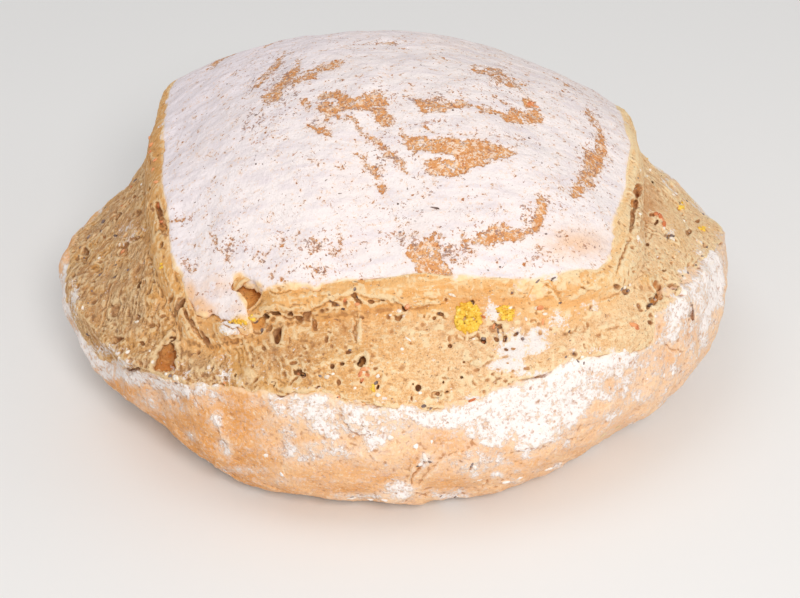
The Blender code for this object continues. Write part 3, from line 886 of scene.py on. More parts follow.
CRUMB_LIPS = [       # thin raised edges: (line in the picture, half width in pixels, rise in millimetres)
    ([(150, 369), (154, 357), (159, 347), (166, 337), (177, 328)], 1.8, 0.9), ([(178, 338), (179, 352), (179, 366)], 1.2, 0.6),
    ([(180, 320), (186, 326), (190, 336), (198, 342)], 1.1, 0.5), ([(360, 314), (361, 328), (359, 344)], 1.5, 0.8),
    ([(243, 336), (247, 348), (253, 362)], 1.2, 0.5),
    ([(224, 331), (232, 338), (243, 338)], 1.4, 0.6), ([(262, 309), (276, 306), (292, 309), (306, 307)], 1.2, 0.5),
    ([(172, 240), (178, 262), (184, 284)], 1.2, 0.4), ([(150, 200), (146, 215), (143, 232)], 1.0, 0.4),
    ([(214, 330), (222, 344), (228, 358)], 1.0, 0.4), 
    ([(366, 352), (369, 361), (364, 368)], 1.1, 0.5), ([(256, 284), (266, 288), (274, 294)], 1.2, 0.5),
    ([(318, 306), (330, 297), (344, 294), (356, 289)], 1.0, 0.4), ([(376, 296), (392, 302), (408, 304), (422, 302)], 1.0, 0.4),
    ([(120, 262), (112, 278), (102, 292)], 1.0, 0.3), ([(96, 232), (88, 246), (84, 262)], 1.0, 0.3),
    ([(150, 262), (156, 280), (160, 296)], 1.1, 0.4), ([(163, 262), (168, 278), (172, 292)], 1.0, 0.4),
    ([(128, 300), (138, 312), (146, 318)], 0.9, 0.3), ([(540, 283), (548, 282), (556, 290)], 1.0, 0.4),
    ([(640, 200), (640, 216), (637, 234)], 1.3, 0.5), ([(652, 310), (662, 296), (668, 284)], 1.2, 0.4),
]


def cracks(x, y, items):
    """How deep cracks along lines in the picture are at each point, in metres."""
    total = np.zeros(len(x))
    for line, half, depth in items:
        for number, (a, b) in enumerate(zip(line, line[1:])):
            a, b = np.array(a, float), np.array(b, float)
            near = np.flatnonzero((x > min(a[0], b[0]) - 8) & (x < max(a[0], b[0]) + 8)
                                  & (y > min(a[1], b[1]) - 8) & (y < max(a[1], b[1]) + 8))
            ab = b - a
            t = np.clip(((x[near] - a[0]) * ab[0] + (y[near] - a[1]) * ab[1]) / (ab @ ab), 0, 1)
            d = np.hypot(x[near] - a[0] - t * ab[0], y[near] - a[1] - t * ab[1])
            along = (number + t) / (len(line) - 1)
            total[near] = np.maximum(total[near], depth / 1000 * np.exp(-(d / half) ** 2)
                                     * np.clip(6 * along * (1 - along) + 0.3, 0, 1) * 0.8)
    return total


def rims(p):
    """The thin raised lips of the wide bubbles, 0 to 1."""
    total = np.zeros(len(p))
    for place, normal, a, b, depth in holes:
        wide = min(np.linalg.norm(a), np.linalg.norm(b))
        if wide < 0.0013 or depth < 0.0021:
            continue
        near = np.flatnonzero(np.abs(p - place).max(1) < 2.4 * max(np.linalg.norm(a), np.linalg.norm(b)))
        d = p[near] - place
        u, v = d @ a / (a @ a), d @ b / (b @ b)
        q = np.hypot(u, v) / 1.18
        thin = 0.9 / (wide * 1000)
        lip = smooth_step(q, 1 + 0.9 * thin, 1 + 0.3 * thin) * smooth_step(q, 1 - 0.5 * thin, 1.0)
        total[near] = np.maximum(total[near], lip * np.clip(0.75 - 0.9 * fbm(p[near], 0.006, 1, 33.0), 0, 1))
    return total


def wander(p, x, y):
    """Picture places, shaken so that lines drawn there run raggedly."""
    return x + 1.9 * perlin(p / 0.0030) + 1.2 * perlin(p / 0.0012 + 4.0), \
        y + 1.9 * perlin(p / 0.0031 + 9.0) + 1.2 * perlin(p / 0.0013 + 2.0)


def strands(p, theta, r, z, left):
    """Pulled strands of the torn crumb: up the slope on the left, along the band in front."""
    arc = np.radians(theta) * 0.105
    climb = z - 0.8 * r
    warp = 0.0022 * fbm(p, 0.008, 2, 3.0)
    along = ridged(np.stack([arc / 5.5, climb + warp, r * 0.15], 1), 0.0026, 2, 5.0)
    upward = ridged(np.stack([arc + 0.55 * climb + warp, climb / 6.5, r * 0.15], 1), 0.0022, 2, 5.5)
    return along * (1 - left) + upward * left


def crumb_relief(p, n):
    theta, r, z, s = place_of(p)
    under = in_lid_at(p)
    shown = smooth_step(under, 0.002, -0.0005) * smooth_step(z - rim_height(theta, s), -0.002, 0.0005)
    out = np.zeros(len(p))
    on = np.flatnonzero(shown > 0.01)
    p, n, theta, r, z, under = p[on], n[on], theta[on], r[on], z[on], under[on]
    left = smooth_step(np.abs((theta + 360) % 360 - 205), 66, 34)
    skin = smooth_step(under, -0.0095, -0.0025)
    zone = smooth_step(fbm(p, 0.016, 2, 13.0), -0.25, 0.35)
    patchy = smooth_step(fbm(p, 0.009, 2, 27.0), -0.35, 0.25)
    total = (0.00011 + 0.00013 * left + 0.00006 * zone) * (1 - 0.4 * skin) * (0.35 + 0.75 * patchy) * strands(p, theta, r, z, left)
    beyond = smooth_step(np.abs((theta + 360) % 360 - 85), 95, 70)
    total += (0.25 + 0.7 * zone) * (1 - (0.45 - 0.35 * beyond) * skin) * (0.00012 + 0.00008 * beyond) * ridged(p, 0.0017, 2, 6.0)
    total += (0.00017 + 0.00010 * left) * fbm(p, 0.0064, 4, 7.5) + 0.00042 * rims(p)
    pits = smooth_step(fbm(p, 0.0019, 1, 21.0), 0.52, 0.80) * smooth_step(fbm(p, 0.012, 2, 23.0), -0.05, 0.35)
    total -= 0.0009 * pits * (1 - 0.8 * skin)
    x, y = picture_of(p)
    seen = n @ AHEAD < 0.15
    x, y = wander(p, x, y)
    out[on] = shown[on] * (total + (steps(x, y, CRUMB_STEPS) + cracks(x, y, CRUMB_LIPS) - cracks(x, y, CRUMB_CRACKS)) * seen)
    return out


def lid_relief(p, n):
    brushed = fbm(np.stack([p[:, 0] * 0.30 + p[:, 1] * 0.12, p[:, 1] - p[:, 0] * 0.35, p[:, 2]], 1), 0.0048, 3, 2.0)
    top = smooth_step(sample(SOLID, p), -0.0012, -0.0002)
    out = 0.00018 * brushed + 0.00008 * fbm(p, 0.0024, 3, 4.0)
    out -= 0.00016 * smooth_step(np.abs(fbm(p, 0.0085, 3, 16.0)), 0.05, 0.0)
    bare = smooth_step(bare_patches(p) + 0.5 * fbm(p, 0.0022, 2, 19.0), 0.35, 0.6)
    out -= (0.00022 - 0.00014 * ridged(p, 0.0016, 1, 3.0)) * bare
    x, y = picture_of(p)
    seen = smooth_step(p[:, 1], 0.085, 0.070)
    out += seen * 0.0006 * blobs(x, y, [(496, 79, 11, 7, 1.0)]) - seen * 0.0010 * blobs(
        x, y, [(496, 85, 8, 2.0, 1.0), (438, 208, 8, 1.5, 0.8), (530, 104, 6, 3, 0.8)])
    return out * top


def shell_relief(p, n):
    theta, r, z, s = place_of(p)
    outer = smooth_step(sample(SOLID, p), -0.0016, -0.0004)
    wall = smooth_step(z, 0.0008, 0.006)
    arc = np.radians(theta) * 0.115
    folds = ridged(np.stack([arc / 2.6 + 0.2 * z, z + 0.25 * arc + 0.002 * fbm(p, 0.012, 2, 3.0), r * 0.2], 1), 0.0058, 2, 8.0)
    low = smooth_step(z, 0.024, 0.006)
    total = (0.00014 + 0.00034 * low) * folds + 0.00026 * fbm(p, 0.0062, 3, 8.0) + 0.00016 * ridged(p, 0.0021, 2, 7.0)
    x, y = picture_of(p)
    seen = n @ AHEAD < 0.15
    x, y = wander(p, x, y)
    total = total + (steps(x, y, CRUST_STEPS) - cracks(x, y, CRUST_CRACKS)) * seen
    return outer * wall * total


# Bare patches that the proofing basket left: outlines in the picture with a strength, and then
# streaks as runs of points with a width in pixels and a strength.
PATCHES = [
    ([(399, 126), (410, 136), (430, 137), (456, 138), (464, 141), (480, 141), (500, 145), (517, 152), (506, 160), (490, 163),
      (470, 169), (458, 177), (434, 175), (426, 167), (424, 160), (434, 157), (456, 161), (450, 155), (430, 152), (418, 151),
      (414, 155), (409, 146), (402, 134)], 1.0),
    ([(408, 248), (414, 248), (425, 242), (434, 242), (443, 250), (443, 260), (450, 268), (453, 280), (430, 278), (418, 277),
      (411, 266), (407, 254)], 1.0),
    ([(459, 233), (466, 237), (474, 239), (478, 237), (484, 234), (492, 226), (508, 224), (513, 229), (520, 230), (526, 229),
      (531, 230), (532, 221), (537, 210), (534, 203), (541, 194), (547, 202), (546, 211), (543, 223), (538, 231), (530, 235),
      (520, 241), (508, 240), (496, 247), (476, 248), (469, 244), (461, 239)], 1.0),
    ([(316, 99), (324, 92), (338, 92), (350, 100), (360, 98), (370, 94), (378, 91), (386, 95), (388, 100), (384, 106), (395, 118),
      (391, 125), (378, 120), (374, 114), (370, 110), (356, 109), (346, 111), (338, 114), (331, 119), (328, 124), (323, 117),
      (317, 111), (319, 106), (330, 104), (336, 106), (340, 102), (330, 99), (322, 101)], 0.95),
    ([(417, 94), (428, 98), (442, 101), (466, 100), (468, 105), (450, 110), (440, 111), (426, 113), (417, 105)], 0.85),
    ([(472, 106), (490, 109), (502, 113), (510, 109), (524, 112), (540, 109), (545, 116), (543, 124), (520, 123), (506, 121),
      (500, 115), (480, 113)], 0.85),
    ([(353, 123), (358, 122), (366, 130), (378, 138), (388, 144), (396, 152), (403, 161), (409, 173), (404, 172), (396, 163),
      (386, 154), (374, 144), (362, 136)], 0.75),
    ([(354, 153), (361, 150), (366, 153), (368, 160), (376, 168), (381, 177), (384, 186), (379, 185), (372, 174), (364, 164),
      (360, 157)], 0.85),
    ([(335, 116), (344, 117), (355, 119), (357, 123), (346, 123), (337, 121)], 0.8),
    ([(307, 126), (316, 128), (324, 131), (331, 133), (335, 138), (327, 140), (318, 135), (309, 131)], 0.8),
    ([(596, 128), (602, 132), (606, 144), (607, 156), (603, 168), (596, 180), (588, 190), (578, 200), (570, 198), (572, 186),
      (580, 176), (584, 162), (586, 150), (592, 152), (597, 146), (597, 136)], 0.9),
    ([(587, 106), (592, 112), (598, 124), (602, 134), (597, 136), (591, 124), (586, 114)], 0.7),
    ([(470, 64), (486, 64), (500, 68), (508, 76), (520, 78), (526, 84), (520, 90), (508, 88), (498, 84), (486, 76), (472, 72)], 0.62),
    ([(299, 60), (302, 68), (296, 80), (284, 92), (278, 104), (266, 108), (262, 100), (272, 92), (284, 80), (293, 70)], 0.9),
    ([(345, 60), (340, 68), (322, 74), (306, 82), (292, 90), (290, 84), (304, 74), (318, 66), (332, 62)], 0.72),
    ([(285, 50), (282, 62), (274, 74), (258, 90), (252, 88), (262, 76), (272, 66), (280, 54)], 0.7),
    ([(300, 104), (307, 101), (313, 105), (309, 111), (302, 110)], 0.75),
    ([(521, 100), (529, 98), (536, 103), (533, 108), (525, 107)], 0.9),
]
STREAKS = [
    ([(311, 79), (318, 80)], 4, 0.5), ([(374, 139), (390, 151), (401, 165), (406, 174)], 5, 0.5), ([(337, 164), (341, 168)], 6, 0.45),
    ([(352, 45), (368, 43), (392, 43)], 3, 0.6), ([(382, 42), (394, 42)], 5, 0.9), ([(396, 44), (424, 52), (444, 58)], 3, 0.4),
    ([(452, 88), (457, 93), (463, 100)], 3, 0.6), ([(386, 98), (398, 95), (408, 98), (418, 96)], 4, 0.5),
    ([(424, 112), (420, 120), (432, 132)], 4, 0.6), ([(434, 133), (453, 135), (476, 134), (500, 136), (526, 139)], 2.6, 0.55),
    ([(492, 98), (503, 104), (511, 109)], 4, 0.65), ([(433, 176), (436, 190)], 3, 0.45), ([(490, 82), (503, 84)], 3, 0.8),
    ([(566, 188), (556, 192)], 6, 0.45), ([(530, 206), (526, 222)], 6, 0.45), ([(446, 250), (456, 254), (464, 246)], 13, 0.5),
    ([(452, 262), (460, 266), (472, 256)], 9, 0.5), ([(430, 238), (436, 244)], 6, 0.5), ([(554, 78), (566, 86), (580, 95)], 5, 0.62),
    ([(586, 100), (594, 106)], 4, 0.4), ([(213, 238), (218, 242)], 7, 0.62), ([(232, 240), (230, 252), (230, 262)], 7, 0.6),
    ([(186, 264), (192, 271)], 9, 0.55), ([(168, 222), (180, 220), (190, 216)], 4, 0.6), ([(281, 236), (283, 246)], 6, 0.65),
    ([(294, 240), (298, 246)], 5, 0.45), ([(312, 252), (318, 246), (314, 240)], 7, 0.62), ([(331, 251), (339, 242)], 8, 0.66),
    ([(348, 250), (356, 248)], 6, 0.55), ([(306, 268), (324, 274)], 8, 0.45), ([(272, 278), (282, 280)], 7, 0.5),
    ([(536, 248), (552, 256)], 7, 0.45), ([(526, 264), (534, 258)], 4, 0.55), ([(396, 234), (420, 236), (444, 238)], 9, 0.46),
    ([(236, 74), (231, 76)], 4, 0.55), ([(350, 188), (362, 196)], 3, 0.4), ([(322, 240), (336, 234)], 3, 0.4),
    ([(222, 252), (240, 258)], 5, 0.42), ([(536, 150), (544, 164)], 2.4, 0.4), ([(560, 60), (572, 68)], 3, 0.4),
]


def bare_patches(points):
    """How bare of flour each point is: streaks placed by the picture, and like ones at the back."""
    total = np.zeros(len(points))
    warp = np.stack([perlin(points / 0.0045 + k) for k in (3.0, 17.0, 31.0)], 1)
    q = points + 0.0008 * warp

    def stroke(places, half, strength):
        for a, b in zip(places, places[1:]):
            ab = b - a
            near = np.flatnonzero(np.abs(q - (a + b) / 2).max(1) < half * 2.2 + np.linalg.norm(ab) / 2)
            if not len(near):
                continue
            t = np.clip(((q[near] - a) @ ab) / (ab @ ab), 0, 1)
            d = np.linalg.norm(q[near] - a - t[:, None] * ab, axis=1)
            total[near] = np.maximum(total[near], strength * smooth_step(d / half, 1.9, 0.25))

    for places, half, strength in streak_places:
        stroke(places, half, strength)
    for outline, strength in patch_places:
        low, high = outline.min(0) - 0.004, outline.max(0) + 0.004
        near = np.flatnonzero((q[:, 0] > low[0]) & (q[:, 0] < high[0]) & (q[:, 1] > low[1]) & (q[:, 1] < high[1]))
        inside = ring_distance(outline, q[near, 0], q[near, 1])
        total[near] = np.maximum(total[near], strength * smooth_step(inside, -0.0016, 0.0014))
    return total


patch_places = [(np.array([hit(*xy)[0][:2] for xy in outline]), strength) for outline, strength in PATCHES]
streak_places = []
for run, width, strength in STREAKS:
    found = [hit(*xy) for xy in run]
    places = [x[0] for x in found if x is not None]
    if len(places) > 1:
        streak_places.append((places, width / 2 * ((places[0] - CAMERA) @ AHEAD) / FOCAL_PX * 1.05, strength))
# The rings of the basket go on round the back.
chance = np.random.default_rng(77)
for ring_r in (0.038, 0.048, 0.058, 0.068, 0.078, 0.087):
    at = chance.uniform(14, 40)
    while at < 168:
        run = chance.uniform(7, 24)
        if chance.random() < 0.62:
            places = []
            for t in np.linspace(at, at + run, 4):
                a = math.radians(t)
                r = ring_r + chance.uniform(-0.0014, 0.0014)
                place, _, _, _ = smooth_tree.ray_cast(
                    Vector((r * math.cos(a) + SHIFT[0], r * math.sin(a) + SHIFT[1], 0.2)), Vector((0, 0, -1)))
                if place is not None and place[1] > 0.045 and picture_of(np.array([place]))[1][0] > 0:
                    places.append(np.array(place))
            if len(places) > 1:
                streak_places.append((places, chance.uniform(0.0009, 0.0026), chance.uniform(0.55, 1.05)))
        at += run + chance.uniform(6, 24)

lid_piece = surface(volume(lid, 0.0042), "lid_crust", lid_relief)
shell_piece = surface(volume(shell, 0.0042), "lower_crust", shell_relief)
full = volume(crumb, -0.0042)
# Deep bubbles reach past the band.
np.maximum(full, np.where(hole_field < 0.0004, -hole_field, np.float32(-1)), out=full)
# The crumb is two closed pieces, a near one and a far one, that overlap a little.
seam = (gy[None, :] - 0.036 + 0.006 * np.sin(gx[:, None] / 0.011)).astype(np.float32)[:, :, None] \
    + 0.003 * np.sin(gz / 0.0061)[None, None, :]
far_full = np.maximum(full + np.float32(0.00012), -seam - np.float32(0.0012))
crumb_piece = surface(np.maximum(full, seam), "torn_crumb_near", crumb_relief)
far_piece = surface(far_full, "torn_crumb_far", crumb_relief, int(0.7 * MOST_TRIANGLES))
del full, far_full


# ------------------------------------------------------------------ marks for the materials
def mark_crumb(piece):
    p, n = points_of(piece), normals_of(piece)
    theta, r, z, s = place_of(p)
    under = in_lid_at(p)
    left = smooth_step(np.abs((theta + 360) % 360 - 205), 66, 34)
    x, y = picture_of(p)
    seen = smooth_step(n @ AHEAD, 0.2, -0.1)
    beyond = np.where((theta > 2) & (theta < 172), 1.0, 0.0)
    away = smooth_step(theta, 40, 75) * smooth_step(theta, 178, 160)
    # Painted shade: the floors of deep bubbles, cracks and pits are marked as deep for dark colour.
    deep = np.clip(sample(pore_shade_field, p), 0, 1) * smooth_step(sample(SOLID, p), -0.0002, -0.0013)
    cx, cy = wander(p, x, y)
    crack_shade = smooth_step(cracks(cx, cy, CRUMB_CRACKS) * seen, 0.0003, 0.0011)
    # Painted highlight: the lips of the bubbles and the raised lips are marked as rim for pale colour.
    mark(piece, "rim", np.maximum(rims(p), 1.3 * smooth_step(cracks(cx, cy, CRUMB_LIPS) * seen, 0.00012, 0.00045)))
    pits = smooth_step(fbm(p, 0.0019, 1, 21.0), 0.56, 0.78) * smooth_step(fbm(p, 0.012, 2, 23.0), -0.05, 0.35)
    big = smooth_step(sample(SOLID, p), -0.0030, -0.0046)
    mark(piece, "deep", np.maximum(np.maximum(deep * (1 - 0.3 * big), 0.72 * crack_shade), 0.62 * pits))
    wide = sample(wide_field, p) * smooth_step(sample(SOLID, p), -0.0003, -0.0014)
    mark(piece, "cavern", np.maximum(np.clip(wide, 0, 1), big * smooth_step(sample(hole_field, p), 0.0012, 0.0004) * (1 - 0.7 * beyond)))
    # Curvature, for painted light: the material paints ridges pale as highlights and hollows darker as shade, with
    # weaker painted shade in the calm front zones.
    calm = blobs(x, y, [(500, 304, 70, 12, 0.8), (590, 300, 50, 20, 0.7), (430, 350, 60, 40, 0.45), (560, 340, 60, 24, 0.6),
                        (460, 385, 60, 20, 0.4), (390, 298, 50, 8, 0.3)]) * seen
    dip = curvature(piece, 2) / 0.00032
    mark(piece, "hollow", 0.5 + np.where(dip < 0, dip * (1 - calm), dip))
    mark(piece, "strand", 0.5 + 0.5 * strands(p, theta, r, z, left))
    mark(piece, "warm", smooth_step(p[:, 0], 0.05, -0.06))
    # Painted light: the right side of the crumb is marked to be painted paler.
    mark(piece, "painted_light_right", smooth_step(p[:, 0], 0.060, 0.084))
    mark(piece, "left", np.maximum(left, 0.5 * away * smooth_step(fbm(p, 0.03, 2, 40.0), -0.1, 0.4)))
    skin = np.maximum(smooth_step(under, -0.0095, -0.0035) * smooth_step(under, 0.004, 0.001),
                      seen * blobs(x, y, [(154, 150, 10, 60, 1.0), (158, 240, 8, 60, 0.9), (628, 180, 5, 44, 1.0)]))
    mark(piece, "skin", skin * (1 - 0.95 * seen * blobs(x, y, [(647, 205, 12, 34, 1.3), (640, 240, 10, 22, 0.9)])))
    dust = blobs(x, y, [
        (231, 327, 15, 10, 1.0), (516, 346, 22, 18, 1.0), (506, 366, 26, 9, 0.95), (493, 312, 9, 12, 0.95), (536, 342, 16, 22, 0.8),
        (556, 326, 16, 14, 0.6), (486, 300, 12, 8, 0.6), (560, 318, 20, 10, 0.5), (584, 306, 24, 16, 0.4),
        (225, 372, 26, 20, 0.5), (470, 398, 40, 7, 0.6), (534, 374, 30, 6, 0.7), (600, 350, 40, 6, 0.5),
        (400, 400, 60, 5, 0.45), (300, 388, 40, 5, 0.4), (180, 372, 14, 12, 0.6), (170, 382, 10, 6, 0.8),
        (100, 350, 40, 10, 0.6), (74, 300, 8, 30, 0.6), (436, 350, 60, 40, 0.14), (340, 340, 60, 30, 0.12),
        (110, 290, 60, 70, 0.16), (128, 232, 22, 16, 0.46), (680, 230, 40, 60, 0.22), (676, 254, 18, 18, 0.3), (672, 234, 10, 7, 0.6), (645, 168, 8, 8, 0.4),
        (120, 364, 16, 8, 0.75), (640, 242, 8, 6, 0.55), (700, 250, 10, 20, 0.5), (690, 272, 12, 8, 0.6),
        (640, 300, 16, 8, 0.3), (610, 290, 20, 10, 0.25), (322, 300, 30, 6, 0.2)]) * seen
    mark(piece, "dust", np.maximum(dust, beyond * np.maximum(0.62 * smooth_step(fbm(p, 0.016, 3, 9.0), 0.0, 0.45),
                                                             0.6 * smooth_step(z - rim_height(theta, s), 0.005, 0.0))))
    gold = blobs(x, y, [
        (150, 120, 9, 34, 1.0), (154, 170, 8, 30, 1.0), (160, 214, 8, 30, 1.0), (170, 252, 8, 22, 1.0), (178, 280, 6, 14, 0.8), (238, 366, 12, 22, 1.0), (232, 390, 14, 12, 0.8), (130, 345, 16, 8, 0.7), (100, 340, 12, 14, 0.5),
        (150, 298, 5, 14, 0.8), (165, 266, 5, 14, 0.9), (166, 330, 9, 18, 0.6), (648, 280, 8, 6, 0.9),
        (280, 388, 40, 6, 0.6), (355, 350, 7, 6, 0.7), (322, 314, 18, 6, 0.5), (372, 388, 5, 10, 0.8),
        (154, 190, 9, 100, 0.8), (160, 230, 8, 50, 0.8), (260, 300, 12, 12, 0.8), (430, 308, 20, 6, 0.5), (702, 229, 4, 4, 1.0),
        (680, 205, 10, 8, 0.4), (676, 240, 12, 12, 0.4), (445, 305, 16, 5, 0.4), (602, 280, 14, 6, 0.5)]) * seen
    mark(piece, "gold", np.maximum(gold, beyond * 0.7 * smooth_step(fbm(p, 0.013, 2, 41.0), 0.3, 0.6)))
    shade = blobs(x, y, [
        (160, 214, 6, 16, 1.0), (150, 128, 6, 16, 0.7), (152, 165, 5, 20, 0.6), (168, 244, 4, 16, 0.8), (176, 272, 4, 12, 0.8), (646, 208, 15, 26, 1.25), (651, 186, 17, 14, 0.9), (654, 292, 9, 18, 0.7), (250, 292, 14, 14, 0.75),
        (258, 324, 12, 10, 0.8), (236, 340, 16, 6, 0.6), (190, 316, 14, 20, 0.6), (206, 330, 12, 16, 0.5),
        (300, 318, 40, 6, 0.4), (345, 330, 10, 14, 0.6), (164, 366, 14, 10, 0.8),
        (470, 322, 30, 24, 0.3), (505, 330, 14, 14, 0.4), (280, 352, 40, 16, 0.3), (150, 206, 8, 10, 0.6)]) * seen
    mark(piece, "shade", shade)


def mark_lid(piece):
    p, n = points_of(piece), normals_of(piece)
    theta, r, z, s = place_of(p)
    x, y = picture_of(p)
    seen = smooth_step(p[:, 1], 0.080, 0.060)
    thin = blobs(x, y, [
        (325, 246, 40, 14, 1.0), (286, 240, 16, 12, 0.8), (230, 248, 22, 16, 0.9), (190, 266, 18, 12, 0.85),
        (180, 220, 18, 9, 0.8), (225, 228, 20, 20, 0.6), (316, 270, 40, 10, 0.85), (268, 262, 30, 14, 0.6),
        (400, 240, 50, 10, 1.0), (455, 252, 26, 14, 1.0), (480, 232, 60, 10, 0.8), (530, 215, 16, 16, 0.8),
        (560, 200, 30, 12, 0.75), (590, 160, 24, 50, 0.85), (592, 112, 16, 14, 0.8), (575, 245, 36, 16, 0.62), (540, 256, 30, 12, 0.7),
        (330, 106, 40, 24, 0.8), (380, 104, 30, 24, 0.8), (280, 84, 38, 34, 0.9), (258, 120, 26, 24, 0.8), (290, 112, 24, 8, 0.7),
        (440, 100, 50, 16, 0.8), (440, 124, 40, 12, 0.7), (500, 100, 40, 16, 0.8), (500, 140, 50, 12, 0.75), (525, 140, 16, 8, 0.8),
        (495, 80, 34, 16, 0.8), (566, 90, 24, 14, 0.8), (380, 44, 50, 6, 0.7), (390, 150, 24, 30, 0.75), (375, 168, 24, 20, 0.6),
        (425, 188, 26, 22, 0.6), (300, 150, 40, 24, 0.3), (240, 150, 40, 40, 0.22), (215, 200, 40, 30, 0.25),
        (340, 200, 60, 20, 0.3), (400, 210, 60, 16, 0.55), (455, 205, 90, 20, 0.2), (236, 304, 14, 10, 0.6), (232, 74, 12, 8, 0.5),
        (222, 280, 20, 12, 0.35), (200, 295, 12, 12, 0.3)])
    back = smooth_step(fbm(p, 0.020, 2, 14.0), -0.2, 0.5) * 0.85
    mark(piece, "bare", bare_patches(p))
    mark(piece, "thin", thin * seen + back * (1 - seen))
    edge = in_lid_at(p)
    mark(piece, "torn", smooth_step(edge, 0.0011, 0.0001))
    mark(piece, "under", smooth_step(sample(SOLID, p), -0.0011, -0.0019) * smooth_step(n[:, 2], 0.4, 0.0))
    # Painted shade: a cooler tint for the flour at the left and back.
    mark(piece, "shade_side_tint", smooth_step(p[:, 1] * 0.8 - p[:, 0], -0.03, 0.10))
    flesh = blobs(x, y, [(199, 306, 9, 10, 1.3), (190, 294, 6, 12, 1.3), (200, 314, 12, 6, 1.3), (207, 312, 8, 5, 1.2), (576, 244, 30, 14, 0.8), (216, 286, 16, 10, 0.5), (206, 308, 12, 6, 0.9), (236, 308, 12, 6, 0.4)]) * seen
    mark(piece, "flesh", flesh)


FLOURED = [       # outlines in the picture, and how much flour lies there
    ([(536, 372), (560, 362), (600, 352), (640, 344), (640, 356), (600, 368), (560, 380), (540, 384)], 1.0),
    ([(392, 404), (440, 409), (470, 402), (500, 389), (546, 371), (600, 355), (655, 343), (668, 304), (690, 276), (714, 242), (728, 262),
      (724, 300), (706, 338), (690, 330), (668, 346), (640, 356), (650, 372), (628, 392), (600, 398), (585, 412), (568, 428),
      (548, 440), (536, 452), (520, 456), (512, 446), (490, 448), (470, 440), (452, 430), (430, 428), (410, 424), (396, 420)], 0.78),
    ([(268, 392), (300, 393), (330, 396), (350, 402), (372, 404), (392, 406), (396, 430), (384, 446), (366, 446), (352, 436),
      (336, 444), (316, 436), (300, 424), (276, 420), (264, 404)], 0.66),
    ([(60, 262), (68, 268), (74, 318), (98, 352), (124, 364), (160, 376), (182, 382), (200, 386), (214, 396), (196, 398), (168, 392),
      (130, 386), (98, 372), (78, 346), (62, 310)], 0.72),
    ([(280, 440), (330, 440), (352, 452), (330, 464), (284, 460)], 0.5), ([(462, 444), (506, 452), (500, 476), (470, 478)], 0.45),
    ([(384, 486), (404, 478), (416, 488), (408, 500), (388, 502)], 0.75), ([(430, 492), (462, 488), (470, 496), (440, 503)], 0.65),
]


